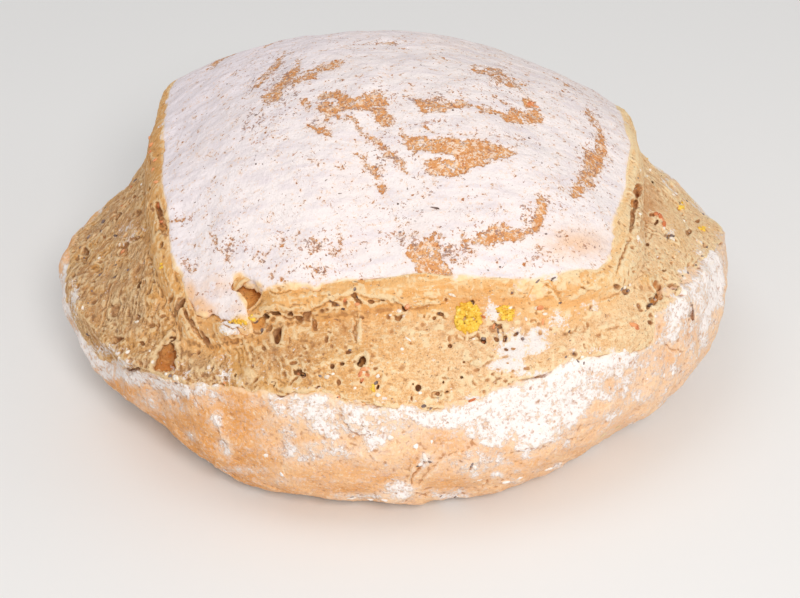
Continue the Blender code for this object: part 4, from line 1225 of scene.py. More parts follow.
def mark_shell(piece):
    p, n = points_of(piece), normals_of(piece)
    theta, r, z, s = place_of(p)
    out = p - SHIFT - np.array([0, 0, 0.045])
    out /= np.linalg.norm(out, axis=1, keepdims=True)
    outer = np.maximum(smooth_step(sample(SOLID, p), -0.0030, -0.0021), smooth_step((n * out).sum(1), 0.05, 0.30))
    x, y = picture_of(p)
    seen = smooth_step(n @ AHEAD, 0.25, -0.05)
    flour = blobs(x, y, [
        (540, 430, 34, 18, 1.15), (525, 448, 12, 14, 1.1), (562, 410, 34, 14, 1.05), (600, 392, 50, 14, 0.9), (560, 384, 46, 12, 1.1),
        (615, 368, 44, 9, 0.85), (500, 400, 30, 10, 1.05), (470, 412, 34, 10, 0.95), (440, 416, 34, 9, 0.85),
        (485, 432, 22, 12, 0.9), (400, 416, 28, 9, 0.9), (390, 428, 26, 10, 0.85), (357, 416, 13, 15, 1.05), (372, 440, 18, 12, 0.85),
        (326, 412, 22, 12, 0.85), (305, 404, 22, 9, 0.75), (322, 400, 12, 8, 1.0), (285, 414, 18, 9, 0.75),
        (330, 454, 16, 9, 0.75), (290, 432, 16, 12, 0.6), (268, 420, 12, 12, 0.55), (295, 448, 26, 8, 0.5), (350, 440, 20, 8, 0.4),
        (470, 465, 20, 12, 0.7), (500, 462, 14, 7, 0.8), (474, 470, 7, 9, 1.0), (425, 460, 6, 9, 1.0), (400, 494, 18, 6, 1.0),
        (452, 496, 16, 5, 0.9), (360, 496, 30, 4, 0.7), (497, 474, 8, 5, 0.9), (558, 466, 10, 5, 0.8), (510, 482, 20, 4, 0.6),
        (530, 470, 30, 5, 0.4), (650, 366, 20, 9, 0.7), (672, 338, 12, 6, 0.8), (700, 300, 14, 26, 1.0), (712, 262, 10, 26, 1.1),
        (690, 300, 16, 14, 0.9), (704, 340, 8, 16, 0.8), (664, 322, 12, 8, 0.5), (640, 396, 34, 12, 0.62), (610, 414, 30, 12, 0.6),
        (202, 384, 12, 14, 0.95), (214, 378, 8, 16, 0.9), (190, 376, 10, 9, 0.7), (160, 385, 16, 8, 0.9), (140, 378, 20, 8, 1.0),
        (100, 362, 18, 10, 1.1), (80, 340, 10, 14, 1.1), (70, 300, 8, 26, 1.1), (66, 270, 6, 14, 1.0), (120, 372, 16, 9, 1.0),
        (64, 300, 8, 40, 1.0), (84, 352, 14, 14, 1.0), (108, 374, 16, 8, 0.9),
        (170, 394, 18, 9, 0.8), (216, 420, 8, 12, 0.75), (224, 444, 8, 12, 0.8), (228, 450, 6, 10, 0.9), (190, 436, 8, 7, 0.6),
        (245, 470, 40, 5, 0.5), (280, 480, 30, 5, 0.45), (255, 402, 10, 8, 0.5), (180, 408, 20, 9, 0.45), (210, 400, 24, 10, 0.5),
        (150, 400, 20, 14, 0.6), (170, 408, 16, 10, 0.5), (262, 440, 20, 16, 0.35), (430, 440, 26, 14, 0.5)])
    away = 0.58 + 0.42 * fbm(p, 0.030, 2, 15.0) + 0.25 * smooth_step(z, 0.020, 0.045)
    wx, wy = x + 5 * perlin(p / 0.0060 + 3.0), y + 5 * perlin(p / 0.0060 + 8.0)
    flour *= 0.85
    for outline, level in FLOURED:
        outline = np.array(outline, float)
        flour = np.maximum(flour, level * smooth_step(ring_distance(outline, wx, wy), -7.0, 7.0))
    rubbed = blobs(wx, wy, [(610, 386, 16, 9, 1.0), (574, 388, 10, 7, 0.6), (640, 372, 14, 9, 0.8), (668, 356, 14, 10, 0.8),
                            (634, 348, 12, 6, 0.5), (690, 322, 10, 12, 0.7), (512, 436, 6, 10, 0.4), (440, 440, 14, 8, 0.6),
                            (486, 424, 12, 5, 0.3), (660, 326, 12, 8, 0.6), (694, 300, 8, 10, 0.3), (585, 370, 8, 5, 0.4)])
    flour = np.maximum(flour - 0.5 * rubbed, 0.06 - 0.14 * smooth_step(y, 458, 484) + 0.16 * smooth_step(x, 220, 330) + 0.16 * smooth_step(x, 560, 660)) * seen + away * (1 - seen)
    mark(piece, "flour", flour * outer)
    gold = blobs(x, y, [
        (178, 398, 9, 9, 1.0), (140, 404, 8, 5, 0.5), (224, 404, 12, 14, 1.0), (240, 420, 16, 12, 0.8), (205, 446, 18, 14, 1.0),
        (214, 456, 12, 10, 1.0), (345, 420, 9, 10, 0.9), (360, 436, 10, 6, 0.9), (385, 478, 24, 7, 1.0), (350, 470, 50, 12, 0.6),
        (416, 462, 14, 9, 0.9), (305, 440, 26, 9, 0.7), (270, 460, 20, 8, 0.8), (444, 440, 14, 9, 0.8), (480, 452, 24, 7, 0.7),
        (532, 462, 30, 6, 0.6), (580, 452, 30, 7, 0.6), (622, 420, 26, 9, 0.6), (668, 360, 14, 12, 0.9), (655, 330, 20, 8, 0.9),
        (690, 330, 10, 12, 0.8), (620, 386, 12, 10, 0.8), (296, 420, 14, 8, 0.7), (330, 434, 14, 6, 0.8), (270, 405, 12, 8, 0.6),
        (232, 470, 30, 8, 0.8), (290, 490, 20, 6, 0.8), (350, 488, 40, 7, 0.9), (300, 478, 40, 8, 0.7), (440, 484, 30, 8, 0.7)]) * seen
    gold = np.maximum(gold, 1.0 * seen * smooth_step(x, 330, 230))
    mark(piece, "gold", np.maximum(gold, (1 - seen) * 0.8 * smooth_step(fbm(p, 0.017, 2, 44.0), 0.1, 0.5)))
    mark(piece, "torn", smooth_step(z - rim_height(theta, s), -0.0014, -0.0002))
    mark(piece, "inner", 1 - outer)
    mark(piece, "low", smooth_step(z, 0.014, 0.001))
    cx, cy = wander(p, x, y)
    # Curvature and cracks, for painted light: the material paints hollows and cracks darker as shade and ridges paler
    # as highlight.
    mark(piece, "hollow", 0.5 + curvature(piece, 2) / 0.00036 - 0.5 * smooth_step(cracks(cx, cy, CRUST_CRACKS) * seen, 0.0002, 0.0010))
    mark(piece, "under", smooth_step(z, 0.0009, 0.0002))


mark_crumb(crumb_piece)
mark_crumb(far_piece)
mark_lid(lid_piece)
mark_shell(shell_piece)
note("relief and marks")


# ------------------------------------------------------------------ materials
def linear(r, g, b):
    """A colour given as 0 to 255 sRGB, in linear light."""
    return (*[c / 255 / 12.92 if c <= 10.3 else ((c / 255 + 0.055) / 1.055) ** 2.4 for c in (r, g, b)], 1.0)


class Nodes:
    """A short way to write a node tree."""

    def __init__(self, name, roughness=0.9, specular=0.25):
        self.material = bpy.data.materials.new(name)
        self.material.use_nodes = True
        self.tree = self.material.node_tree
        self.shader = self.tree.nodes["Principled BSDF"]
        self.shader.inputs["Roughness"].default_value = roughness
        self.shader.inputs["Specular IOR Level"].default_value = specular
        self.coord = self.tree.nodes.new("ShaderNodeTexCoord").outputs["Object"]

    def wire(self, value, socket):
        if hasattr(value, "is_output"):
            self.tree.links.new(value, socket)
        else:
            socket.default_value = value

    def attribute(self, name):
        node = self.tree.nodes.new("ShaderNodeAttribute")
        node.attribute_name = name
        return node.outputs["Fac"]

    def stretched(self, x, y, z, turn=(0.0, 0.0, 0.0)):
        node = self.tree.nodes.new("ShaderNodeMapping")
        self.wire(self.coord, node.inputs["Vector"])
        node.inputs["Scale"].default_value = (x, y, z)
        node.inputs["Rotation"].default_value = turn
        return node.outputs["Vector"]

    def noise(self, size, detail=3.0, rough=0.55, vector=None, warp=0.0):
        node = self.tree.nodes.new("ShaderNodeTexNoise")
        self.wire(vector or self.coord, node.inputs["Vector"])
        node.inputs["Scale"].default_value = 1.0 / size
        node.inputs["Detail"].default_value = detail
        node.inputs["Roughness"].default_value = rough
        node.inputs["Distortion"].default_value = warp
        return node.outputs["Fac"]

    def math(self, what, a, b=0.0, clamp=False):
        node = self.tree.nodes.new("ShaderNodeMath")
        node.operation = what
        node.use_clamp = clamp
        self.wire(a, node.inputs[0])
        self.wire(b, node.inputs[1])
        return node.outputs[0]

    def add(self, *terms):
        """Adds terms; a pair (value, factor) is scaled first."""
        total = None
        for term in terms:
            if isinstance(term, tuple):
                term = self.math("MULTIPLY", term[0], term[1])
            total = term if total is None else self.math("ADD", total, term)
        return total

    def between(self, value, low, high, to_low=0.0, to_high=1.0):
        node = self.tree.nodes.new("ShaderNodeMapRange")
        node.interpolation_type = "SMOOTHSTEP"
        self.wire(value, node.inputs["Value"])
        node.inputs["From Min"].default_value = low
        node.inputs["From Max"].default_value = high
        node.inputs["To Min"].default_value = to_low
        node.inputs["To Max"].default_value = to_high
        return node.outputs["Result"]

    def mix(self, share, a, b):
        node = self.tree.nodes.new("ShaderNodeMix")
        node.data_type = "RGBA"
        self.wire(share, node.inputs["Factor"])
        colours = [x for x in node.inputs if x.type == "RGBA"]
        self.wire(a, colours[0])
        self.wire(b, colours[1])
        return next(x for x in node.outputs if x.type == "RGBA")

    def bump(self, height, distance, strength=1.0):
        node = self.tree.nodes.new("ShaderNodeBump")
        node.inputs["Strength"].default_value = strength
        node.inputs["Distance"].default_value = distance
        self.wire(height, node.inputs["Height"])
        return node.outputs["Normal"]

    def finish(self, colour, roughness=None, normal=None):
        self.wire(colour, self.shader.inputs["Base Color"])
        if roughness is not None:
            self.wire(roughness, self.shader.inputs["Roughness"])
        if normal is not None:
            self.wire(normal, self.shader.inputs["Normal"])
        return self.material


def lid_material():
    k = Nodes("floured_lid", 0.92)
    bare, thin, torn, under, shade_side_tint, flesh = (k.attribute(x) for x in ("bare", "thin", "torn", "under", "shade_side_tint", "flesh"))
    grains = k.noise(0.0016, 3.0, 0.68)
    dots = k.noise(0.0009, 2.0, 0.6)
    blotch = k.noise(0.0046, 3.0, 0.6)
    wide = k.noise(0.016, 3.0, 0.5)
    # The crust under the flour.
    crust = k.mix(k.between(blotch, 0.36, 0.60), linear(237, 178, 120), linear(217, 149, 91))
    crust = k.mix(k.between(grains, 0.54, 0.68, 0.0, 0.8), crust, linear(196, 122, 70))
    crust = k.mix(k.between(dots, 0.46, 0.32, 0.0, 0.85), crust, linear(252, 232, 208))
    crust = k.mix(k.between(k.noise(0.0024, 3.0, 0.7), 0.50, 0.62, 0.0, 0.75), crust, linear(250, 228, 206))
    spots = k.noise(0.0008, 2.0, 0.6, None, 0.4)
    crust = k.mix(k.between(spots, 0.60, 0.70, 0.0, 0.8), crust, linear(160, 88, 56))
    # Flour, warm at the front and cooler at the left and back, where the cool tint is painted shade, with brushed
    # streaks.
    brushed = k.noise(0.0058, 4.0, 0.6, k.stretched(0.42, 1.7, 1.0, (0.0, 0.0, 0.42)))
    flour = k.mix(shade_side_tint, linear(245, 234, 231), linear(249, 238, 242))
    flour = k.mix(k.between(brushed, 0.42, 0.70, 0.0, 0.75), flour, linear(228, 216, 219))
    flour = k.mix(k.between(wide, 0.5, 0.75, 0.0, 0.4), flour, linear(238, 222, 216))
    flour = k.mix(k.math("MULTIPLY", flesh, k.between(blotch, 0.25, 0.5), True), flour, linear(239, 192, 150))
    # Where flour is missing: streaks with grainy edges, then specks where it is thin.
    gone = k.add(bare, (k.math("SUBTRACT", grains, 0.5), 2.5), (k.math("SUBTRACT", dots, 0.5), 1.2),
                 (k.math("SUBTRACT", blotch, 0.5), 1.9), -0.04)
    haze = k.between(gone, 0.06, 0.58)
    gone = k.between(gone, 0.48, 0.76)
    colour = k.mix(k.math("MULTIPLY", haze, 0.62), flour, linear(242, 206, 178))
    colour = k.mix(gone, colour, crust)
    rim = k.math("MULTIPLY", k.between(gone, 0.10, 0.40), k.between(gone, 0.98, 0.70))
    colour = k.mix(k.math("MULTIPLY", rim, k.between(dots, 0.44, 0.56, 0.15, 0.8)), colour, linear(166, 100, 66))
    specks = k.add(k.noise(0.00095, 2.0, 0.6), (k.noise(0.0030, 2.0, 0.55), 0.7), (thin, 0.21))
    colour = k.mix(k.between(specks, 1.098, 1.14, 0.0, 0.8), colour,
                   k.mix(k.between(blotch, 0.42, 0.58), linear(194, 138, 106), linear(154, 120, 110)))
    hairs = k.noise(0.0032, 2.0, 0.6, k.stretched(1.0, 1.0, 1.0, (0.3, 0.5, 0.0)), 0.6)
    hairs = k.math("MULTIPLY", k.between(k.math("ABSOLUTE", k.math("SUBTRACT", hairs, 0.5)), 0.012, 0.0),
                   k.between(k.add(k.noise(0.007, 2.0, 0.5), (thin, 0.10)), 0.56, 0.66))
    colour = k.mix(k.math("MULTIPLY", hairs, 0.6), colour, linear(170, 130, 112))
    bran = k.noise(0.0016, 1.0, 0.5, k.stretched(1.0, 1.5, 1.0, (0.2, 0.1, 0.9)))
    colour = k.mix(k.between(bran, 0.745, 0.765, 0.0, 0.8), colour, linear(120, 96, 84))
    side = k.mix(k.between(k.noise(0.003, 3.0, 0.6), 0.4, 0.7), linear(252, 218, 168), linear(238, 192, 134))
    colour = k.mix(k.math("MULTIPLY", torn, k.between(blotch, 0.30, 0.50)), colour, side)
    colour = k.mix(under, colour, side)
    height = k.add(k.noise(0.0012, 3.0, 0.65), (k.noise(0.0036, 3.0, 0.6), 1.4), (gone, -0.5), (brushed, 1.2))
    return k.finish(colour, k.between(gone, 0.0, 1.0, 0.95, 0.66), k.bump(height, 0.0005, 0.9))


def crumb_material():
    k = Nodes("torn_crumb", 0.82)
    deep, cavern, rim, hollow, strand, warm, left, skin, painted_light_right, dust, gold, shade = (
        k.attribute(x) for x in ("deep", "cavern", "rim", "hollow", "strand", "warm", "left", "skin", "painted_light_right", "dust", "gold", "shade"))
    blotch = k.noise(0.009, 4.0, 0.6)
    mottle = k.noise(0.0028, 4.0, 0.66)
    grain = k.noise(0.0010, 3.0, 0.7)
    fine = k.noise(0.00055, 2.0, 0.6)
    right_tone = k.mix(warm, linear(250, 208, 162), linear(254, 194, 114))
    right_tone = k.mix(k.between(blotch, 0.38, 0.66), right_tone, k.mix(warm, linear(244, 196, 142), linear(246, 178, 98)))
    left_tone = k.mix(k.between(blotch, 0.38, 0.62), linear(230, 173, 112), linear(196, 138, 84))
    left_tone = k.mix(k.between(k.noise(0.013, 3.0, 0.6), 0.52, 0.64, 0.0, 0.75), left_tone, linear(226, 164, 84))
    left_tone = k.mix(k.between(k.noise(0.017, 3.0, 0.6), 0.50, 0.36, 0.0, 0.70), left_tone, linear(212, 170, 122))
    # Painted light: paler crumb at the right side.
    right_tone = k.mix(k.math("MULTIPLY", painted_light_right, 0.5), right_tone, linear(255, 218, 166))
    colour = k.mix(left, right_tone, left_tone)
    colour = k.mix(k.between(mottle, 0.52, 0.70, 0.0, 0.6), colour, k.mix(left, linear(224, 164, 106), linear(178, 126, 78)))
    colour = k.mix(k.between(mottle, 0.46, 0.32, 0.0, 0.6), colour, k.mix(left, linear(254, 226, 180), linear(244, 214, 174)))
    colour = k.mix(k.between(strand, 0.70, 0.95, 0.0, 0.35), colour, k.mix(left, linear(254, 226, 180), linear(238, 208, 162)))
    colour = k.mix(k.between(strand, 0.40, 0.10, 0.0, 0.25), colour, k.mix(left, linear(218, 164, 108), linear(172, 130, 86)))
    colour = k.mix(k.between(grain, 0.55, 0.70, 0.0, 0.7), colour, k.mix(left, linear(206, 146, 94), linear(150, 102, 64)))
    colour = k.mix(k.between(grain, 0.43, 0.28, 0.0, 0.65), colour, k.mix(left, linear(255, 238, 202), linear(240, 220, 186)))
    colour = k.mix(k.between(fine, 0.54, 0.68, 0.0, 0.45), colour, k.mix(left, linear(196, 136, 84), linear(152, 104, 65)))
    colour = k.mix(k.between(fine, 0.45, 0.33, 0.0, 0.45), colour, k.mix(left, linear(255, 236, 200), linear(238, 216, 182)))
    streak = k.noise(0.0026, 3.0, 0.6, k.stretched(0.30, 0.30, 1.5))
    # The skin band's own golden colour, painted paler at the right side as light.
    colour = k.mix(k.math("MULTIPLY", skin, 0.74), colour,
                   k.mix(k.between(streak, 0.40, 0.66), k.mix(painted_light_right, linear(248, 191, 123), linear(255, 226, 178)),
                         k.mix(painted_light_right, linear(243, 173, 93), linear(255, 206, 144))))
    colour = k.mix(k.math("MULTIPLY", gold, k.between(mottle, 0.30, 0.55, 0.30, 0.8)), colour, k.mix(left, linear(244, 186, 104), linear(224, 166, 92)))
    colour = k.mix(k.math("MULTIPLY", shade, 0.55), colour, linear(204, 142, 86))
    # Painted light and shade: ridges and the bubbles' lips are painted pale as highlights, hollows are painted brown as
    # shade, and the floors of bubbles, cracks and pits are painted darkest as shade.
    colour = k.mix(k.between(hollow, 0.57, 0.88, 0.0, 0.76), colour, k.mix(left, linear(255, 230, 186), linear(247, 213, 164)))
    colour = k.mix(k.math("MULTIPLY", k.between(hollow, 0.40, 0.06, 0.0, 0.82), k.between(left, 0.0, 1.0, 0.72, 0.78)), colour, k.mix(left, linear(176, 110, 58), linear(136, 88, 50)))
    colour = k.mix(k.math("MULTIPLY", rim, 0.55), colour, k.mix(left, linear(254, 226, 182), linear(240, 210, 164)))
    dark = k.mix(k.between(mottle, 0.42, 0.60), linear(162, 104, 60), linear(116, 72, 44))
    colour = k.mix(k.between(deep, 0.10, 0.40, 0.0, 0.6), colour, linear(196, 142, 94))
    colour = k.mix(k.between(deep, 0.35, 0.95, 0.0, 0.95), colour, dark)
    colour = k.mix(k.math("MULTIPLY", cavern, k.between(mottle, 0.30, 0.60, 0.95, 0.70)), colour,
                   k.mix(k.between(blotch, 0.35, 0.60), linear(246, 180, 98), linear(226, 148, 70)))
    # Bran and flecks of husk.
    flecks = k.noise(0.0014, 2.0, 0.55, k.stretched(1.0, 1.0, 1.7, (0.4, 0.2, 0.0)))
    colour = k.mix(k.between(flecks, 0.680, 0.705, 0.0, 0.7), colour, linear(142, 100, 80))
    pale = k.noise(0.0016, 2.0, 0.55, k.stretched(1.0, 1.4, 1.0, (0.0, 0.5, 0.3)))
    colour = k.mix(k.between(pale, 0.690, 0.72, 0.0, 0.65), colour, linear(250, 238, 222))
    flour = k.add(dust, (k.math("SUBTRACT", k.noise(0.0046, 4.0, 0.7), 0.5), 1.6), (k.math("SUBTRACT", grain, 0.5), 1.2))
    flour = k.math("MULTIPLY", k.between(flour, 0.44, 0.72), k.between(hollow, 0.10, 0.40))
    colour = k.mix(k.math("MULTIPLY", flour, 0.92), colour, linear(252, 243, 238))
    height = k.add(k.math("MULTIPLY", mottle, 1.2), (grain, 1.1), (fine, 0.5))
    return k.finish(colour, k.between(mottle, 0.3, 0.7, 0.6, 0.88), k.bump(height, 0.0007, 1.0))


def shell_material():
    k = Nodes("lower_crust", 0.88)
    flour_at, torn, inner, low, gold, hollow, under = (
        k.attribute(x) for x in ("flour", "torn", "inner", "low", "gold", "hollow", "under"))
    wide = k.noise(0.022, 3.0, 0.55)
    blotch = k.noise(0.0070, 4.0, 0.62)
    mottle = k.noise(0.0026, 4.0, 0.68)
    grain = k.noise(0.0011, 3.0, 0.66)
    crust = k.mix(k.between(wide, 0.35, 0.65), linear(251, 208, 162), linear(244, 192, 142))
    crust = k.mix(k.between(blotch, 0.48, 0.70, 0.0, 0.7), crust, linear(230, 172, 118))
    crust = k.mix(k.math("MULTIPLY", gold, k.between(blotch, 0.30, 0.55, 0.3, 1.0)), crust, linear(234, 160, 80))
    crust = k.mix(k.between(mottle, 0.54, 0.70, 0.0, 0.65), crust, linear(216, 148, 94))
    crust = k.mix(k.between(mottle, 0.44, 0.32, 0.0, 0.6), crust, linear(255, 232, 204))
    crust = k.mix(k.between(grain, 0.55, 0.70, 0.0, 0.7), crust, linear(204, 138, 90))
    crust = k.mix(k.between(grain, 0.43, 0.29, 0.0, 0.7), crust, linear(255, 234, 204))
    # Flour lies in patches: thick, thin and pinkish, or rubbed off.
    patches = k.add(flour_at, (k.math("SUBTRACT", blotch, 0.5), 1.1), (k.math("SUBTRACT", mottle, 0.5), 1.3),
                    (k.math("SUBTRACT", grain, 0.5), 1.1))
    thick = k.between(patches, 0.42, 0.76)
    hint = k.between(patches, 0.02, 0.52)
    colour = k.mix(k.math("MULTIPLY", hint, 0.62), crust, linear(249, 222, 200))
    colour = k.mix(k.math("MULTIPLY", thick, 0.95), colour, linear(254, 246, 242))
    specks = k.between(k.add(k.noise(0.0010, 2.0, 0.65), (k.noise(0.0034, 2.0, 0.5), 0.5)), 0.84, 0.92, 0.0, 0.55)
    colour = k.mix(specks, colour, k.mix(k.between(blotch, 0.42, 0.58), linear(228, 176, 140), linear(198, 162, 144)))
    # Painted shade in hollows and cracks, and painted highlight on ridges.
    colour = k.mix(k.between(hollow, 0.36, 0.0, 0.0, 0.75), colour, linear(186, 124, 78))
    colour = k.mix(k.between(hollow, 0.66, 1.0, 0.0, 0.4), colour, linear(254, 238, 218))
    side = k.mix(k.between(mottle, 0.4, 0.7), linear(248, 212, 158), linear(230, 180, 122))
    colour = k.mix(k.math("MULTIPLY", torn, k.between(thick, 0.1, 0.9, 0.35, 0.0)), colour, side)
    colour = k.mix(inner, colour, side)
    bottom = k.mix(k.between(blotch, 0.4, 0.65), linear(210, 156, 100), linear(184, 128, 80))
    colour = k.mix(k.math("MULTIPLY", under, 0.9), colour, bottom)
    height = k.add(k.math("MULTIPLY", mottle, 1.2), (grain, 0.9), (thick, 0.3))
    return k.finish(colour, k.between(thick, 0.0, 1.0, 0.72, 0.95), k.bump(height, 0.0006, 0.9))


made = {"lid": lid_material(), "crumb": crumb_material(), "shell": shell_material()}
for piece, kind in ((lid_piece, "lid"), (crumb_piece, "crumb"), (far_piece, "crumb"), (shell_piece, "shell")):
    piece.data.materials.clear()
    piece.data.materials.append(made[kind])
    piece.data.shade_smooth()
note("materials")


# ------------------------------------------------------------------ seeds, crumbs and flakes
def tree_of(piece):
    mesh = piece.data
    mesh.calc_loop_triangles()
    corners = np.empty(len(mesh.loop_triangles) * 3, np.int32)
    mesh.loop_triangles.foreach_get("vertices", corners)
    return BVHTree.FromPolygons(points_of(piece).tolist(), corners.reshape(-1, 3).tolist())


trees = {"lid": tree_of(lid_piece), "crumb": tree_of(crumb_piece), "far": tree_of(far_piece), "shell": tree_of(shell_piece)}
_ball = bmesh.new()
bmesh.ops.create_icosphere(_ball, subdivisions=2, radius=1.0)
BALL_POINTS = np.array([v.co[:] for v in _ball.verts])
BALL_FACES = np.array([[v.index for v in f.verts] for f in _ball.faces])
_ball.free()


def top_hit(origin, way):
    """The first surface of the loaf met along a line: (place, normal, which piece)."""
    best = None
    for name, tree in trees.items():
        place, normal, _, distance = tree.ray_cast(Vector(origin), Vector(way))
        if place is not None and (best is None or distance < best[3]):
            best = (np.array(place), np.array(normal), name, distance)
    return best


class Bits:
    """Many small things of one kind, joined in one mesh."""

    def __init__(self, name, seed):
        self.name, self.chance = name, np.random.default_rng(seed)
        self.points, self.faces, self.count = [], [], 0

    def put(self, place, normal, turn, size, lumpy=0.15, sunk=0.35):
        """One bit: size is (length, width, thickness) in millimetres."""
        across, up = tangents(normal)
        along = across * math.cos(turn) + up * math.sin(turn)
        side = np.cross(normal, along)
        p = BALL_POINTS.copy()
        offset = self.chance.uniform(0, 99, 3)
        p *= (1 + lumpy * (perlin(p * 1.3 + offset) + 0.6 * perlin(p * 3.1 + offset)))[:, None]
        p = p * np.array(size) / 2000
        centre = place + normal * size[2] / 2000 * (1 - 2 * sunk)
        self.points.append(centre + p[:, :1] * along + p[:, 1:2] * side + p[:, 2:] * normal)
        self.faces.append(BALL_FACES + self.count)
        self.count += len(BALL_POINTS)

    def at(self, x, y, turn, size, **more):
        """One bit at a point of the picture, on whatever shows there."""
        found = top_hit(CAMERA, ray(x, y))
        if found is not None:
            normal = found[1] if found[1] @ ray(x, y) < 0 else -found[1]
            self.put(found[0], normal, math.radians(turn), size, **more)

    def around_band(self, count, low, high, thick, near_share=0.5, lumpy=0.2):
        """Chance bits over the torn band."""
        made = 0
        while made < count:
            theta = self.chance.uniform(-180, 180)
            if -172 < theta < -5 and self.chance.random() > near_share:
                continue
            place, normal = band_point(theta, self.chance.uniform(0.04, 0.95))
            found = trees["crumb" if place[1] < 0.03 else "far"].ray_cast(Vector(place + normal * 0.006), Vector(-normal), 0.012)
            if found[0] is None:
                continue
            size = self.chance.uniform(low, high)
            self.put(np.array(found[0]), np.array(found[1]), self.chance.uniform(0, math.pi),
                     (size, size * self.chance.uniform(0.45, 0.85), size * thick), lumpy=lumpy)
            made += 1

    def finish(self, material):
        points, faces = np.concatenate(self.points), np.concatenate(self.faces)
        mesh = bpy.data.meshes.new(self.name)
        mesh.from_pydata(points.tolist(), [], faces.tolist())
        mesh.shade_smooth()
        mesh.materials.append(material)
        piece = bpy.data.objects.new(self.name, mesh)
        bpy.context.scene.collection.objects.link(piece)
        return piece


def bit_material(name, light, dark, odd, size=0.003, roughness=0.7):
    k = Nodes(name, roughness)
    colour = k.mix(k.between(k.noise(size, 2.0, 0.5), 0.38, 0.62), linear(*light), linear(*dark))
    colour = k.mix(k.between(k.noise(size * 0.35, 3.0, 0.6), 0.52, 0.70), colour, linear(*odd))
    return k.finish(colour, None, k.bump(k.noise(0.0005, 3.0, 0.6), 0.0002, 0.6))


husks = Bits("dark_husks", 5)
for x, y, turn, long, wide in (
        (100, 275, 20, 2.4, 1.8), (115, 277, 80, 1.9, 1.4), (128, 270, 30, 2.2, 1.4), (116, 265, 30, 1.6, 1.0), (143, 160, 80, 2.2, 1.2),
        (331, 301, -20, 2.6, 1.5), (338, 305, 10, 2.2, 1.2), (343, 309, 0, 1.7, 1.2), (355, 289, 60, 1.8, 1.2), (357, 297, 10, 1.8, 1.0),
        (262, 331, 80, 3.0, 1.3), (256, 322, 30, 2.4, 1.4), (484, 339, -50, 3.2, 1.6), (498, 332, -60, 3.4, 1.0), (506, 340, 80, 1.8, 1.0),
        (518, 333, -40, 3.6, 1.1), (523, 339, -40, 3.0, 1.3), (569, 332, 50, 2.0, 1.0), (573, 354, 60, 2.6, 1.0), (577, 360, 60, 2.8, 1.2),
        (584, 363, 60, 2.2, 0.9), (566, 357, 20, 1.6, 1.0), (622, 289, 40, 2.2, 1.2), (628, 291, 80, 2.2, 1.4), (553, 279, 40, 2.6, 1.3),
        (538, 281, 30, 2.8, 0.9), (672, 236, 10, 2.4, 1.6), (667, 238, 60, 1.6, 1.2), (683, 277, 20, 3.0, 1.4), (688, 273, 60, 1.8, 1.2),
        (696, 265, 60, 1.8, 1.0), (650, 305, 40, 2.6, 1.4), (654, 298, 70, 2.2, 1.0), (707, 247, 30, 1.8, 1.0), (702, 256, 30, 1.6, 1.0),
        (417, 391, 0, 1.8, 1.2), (339, 397, 0, 2.2, 0.9), (424, 406, 20, 2.4, 1.4), (431, 408, 60, 2.2, 1.0), (320, 376, 0, 1.6, 1.2),
        (376, 383, 30, 2.0, 1.4), (350, 350, 0, 1.6, 1.0), (439, 313, 20, 2.0, 1.0), (471, 303, 80, 1.8, 1.2), (512, 293, 80, 2.2, 1.0),
        (256, 115, 60, 1.8, 1.2), (227, 84, 0, 1.0, 0.8), (529, 138, 20, 1.8, 0.8), (256, 164, 0, 1.0, 0.8), (398, 204, 20, 1.0, 0.9),
        (436, 208, -20, 4.2, 0.9), (400, 232, 20, 1.6, 0.7), (500, 267, 0, 1.0, 0.8), (546, 234, 0, 1.2, 0.9), (453, 110, 0, 1.2, 1.0),
        (638, 178, 0, 1.4, 1.0), (654, 165, 0, 1.6, 1.2), (84, 258, 70, 1.8, 1.0), (170, 376, 30, 2.0, 1.4), (176, 383, 20, 1.8, 1.2),
        (92, 291, 0, 1.4, 1.0), (88, 303, 30, 1.4, 1.0), (430, 462, 0, 1.6, 1.0), (418, 466, 40, 1.8, 0.9), (441, 496, 20, 1.6, 0.9),
        (455, 497, 60, 2.0, 0.9), (472, 465, 60, 3.0, 0.9), (352, 497, 10, 2.0, 0.8), (560, 303, 10, 1.6, 0.8), (305, 375, 30, 1.4, 1.0)):
    husks.at(x, y, turn, (0.82 * long, 0.82 * wide, 0.6 * wide), lumpy=0.3, sunk=0.62)
husks.around_band(46, 0.8, 2.2, 0.4, near_share=0.12)

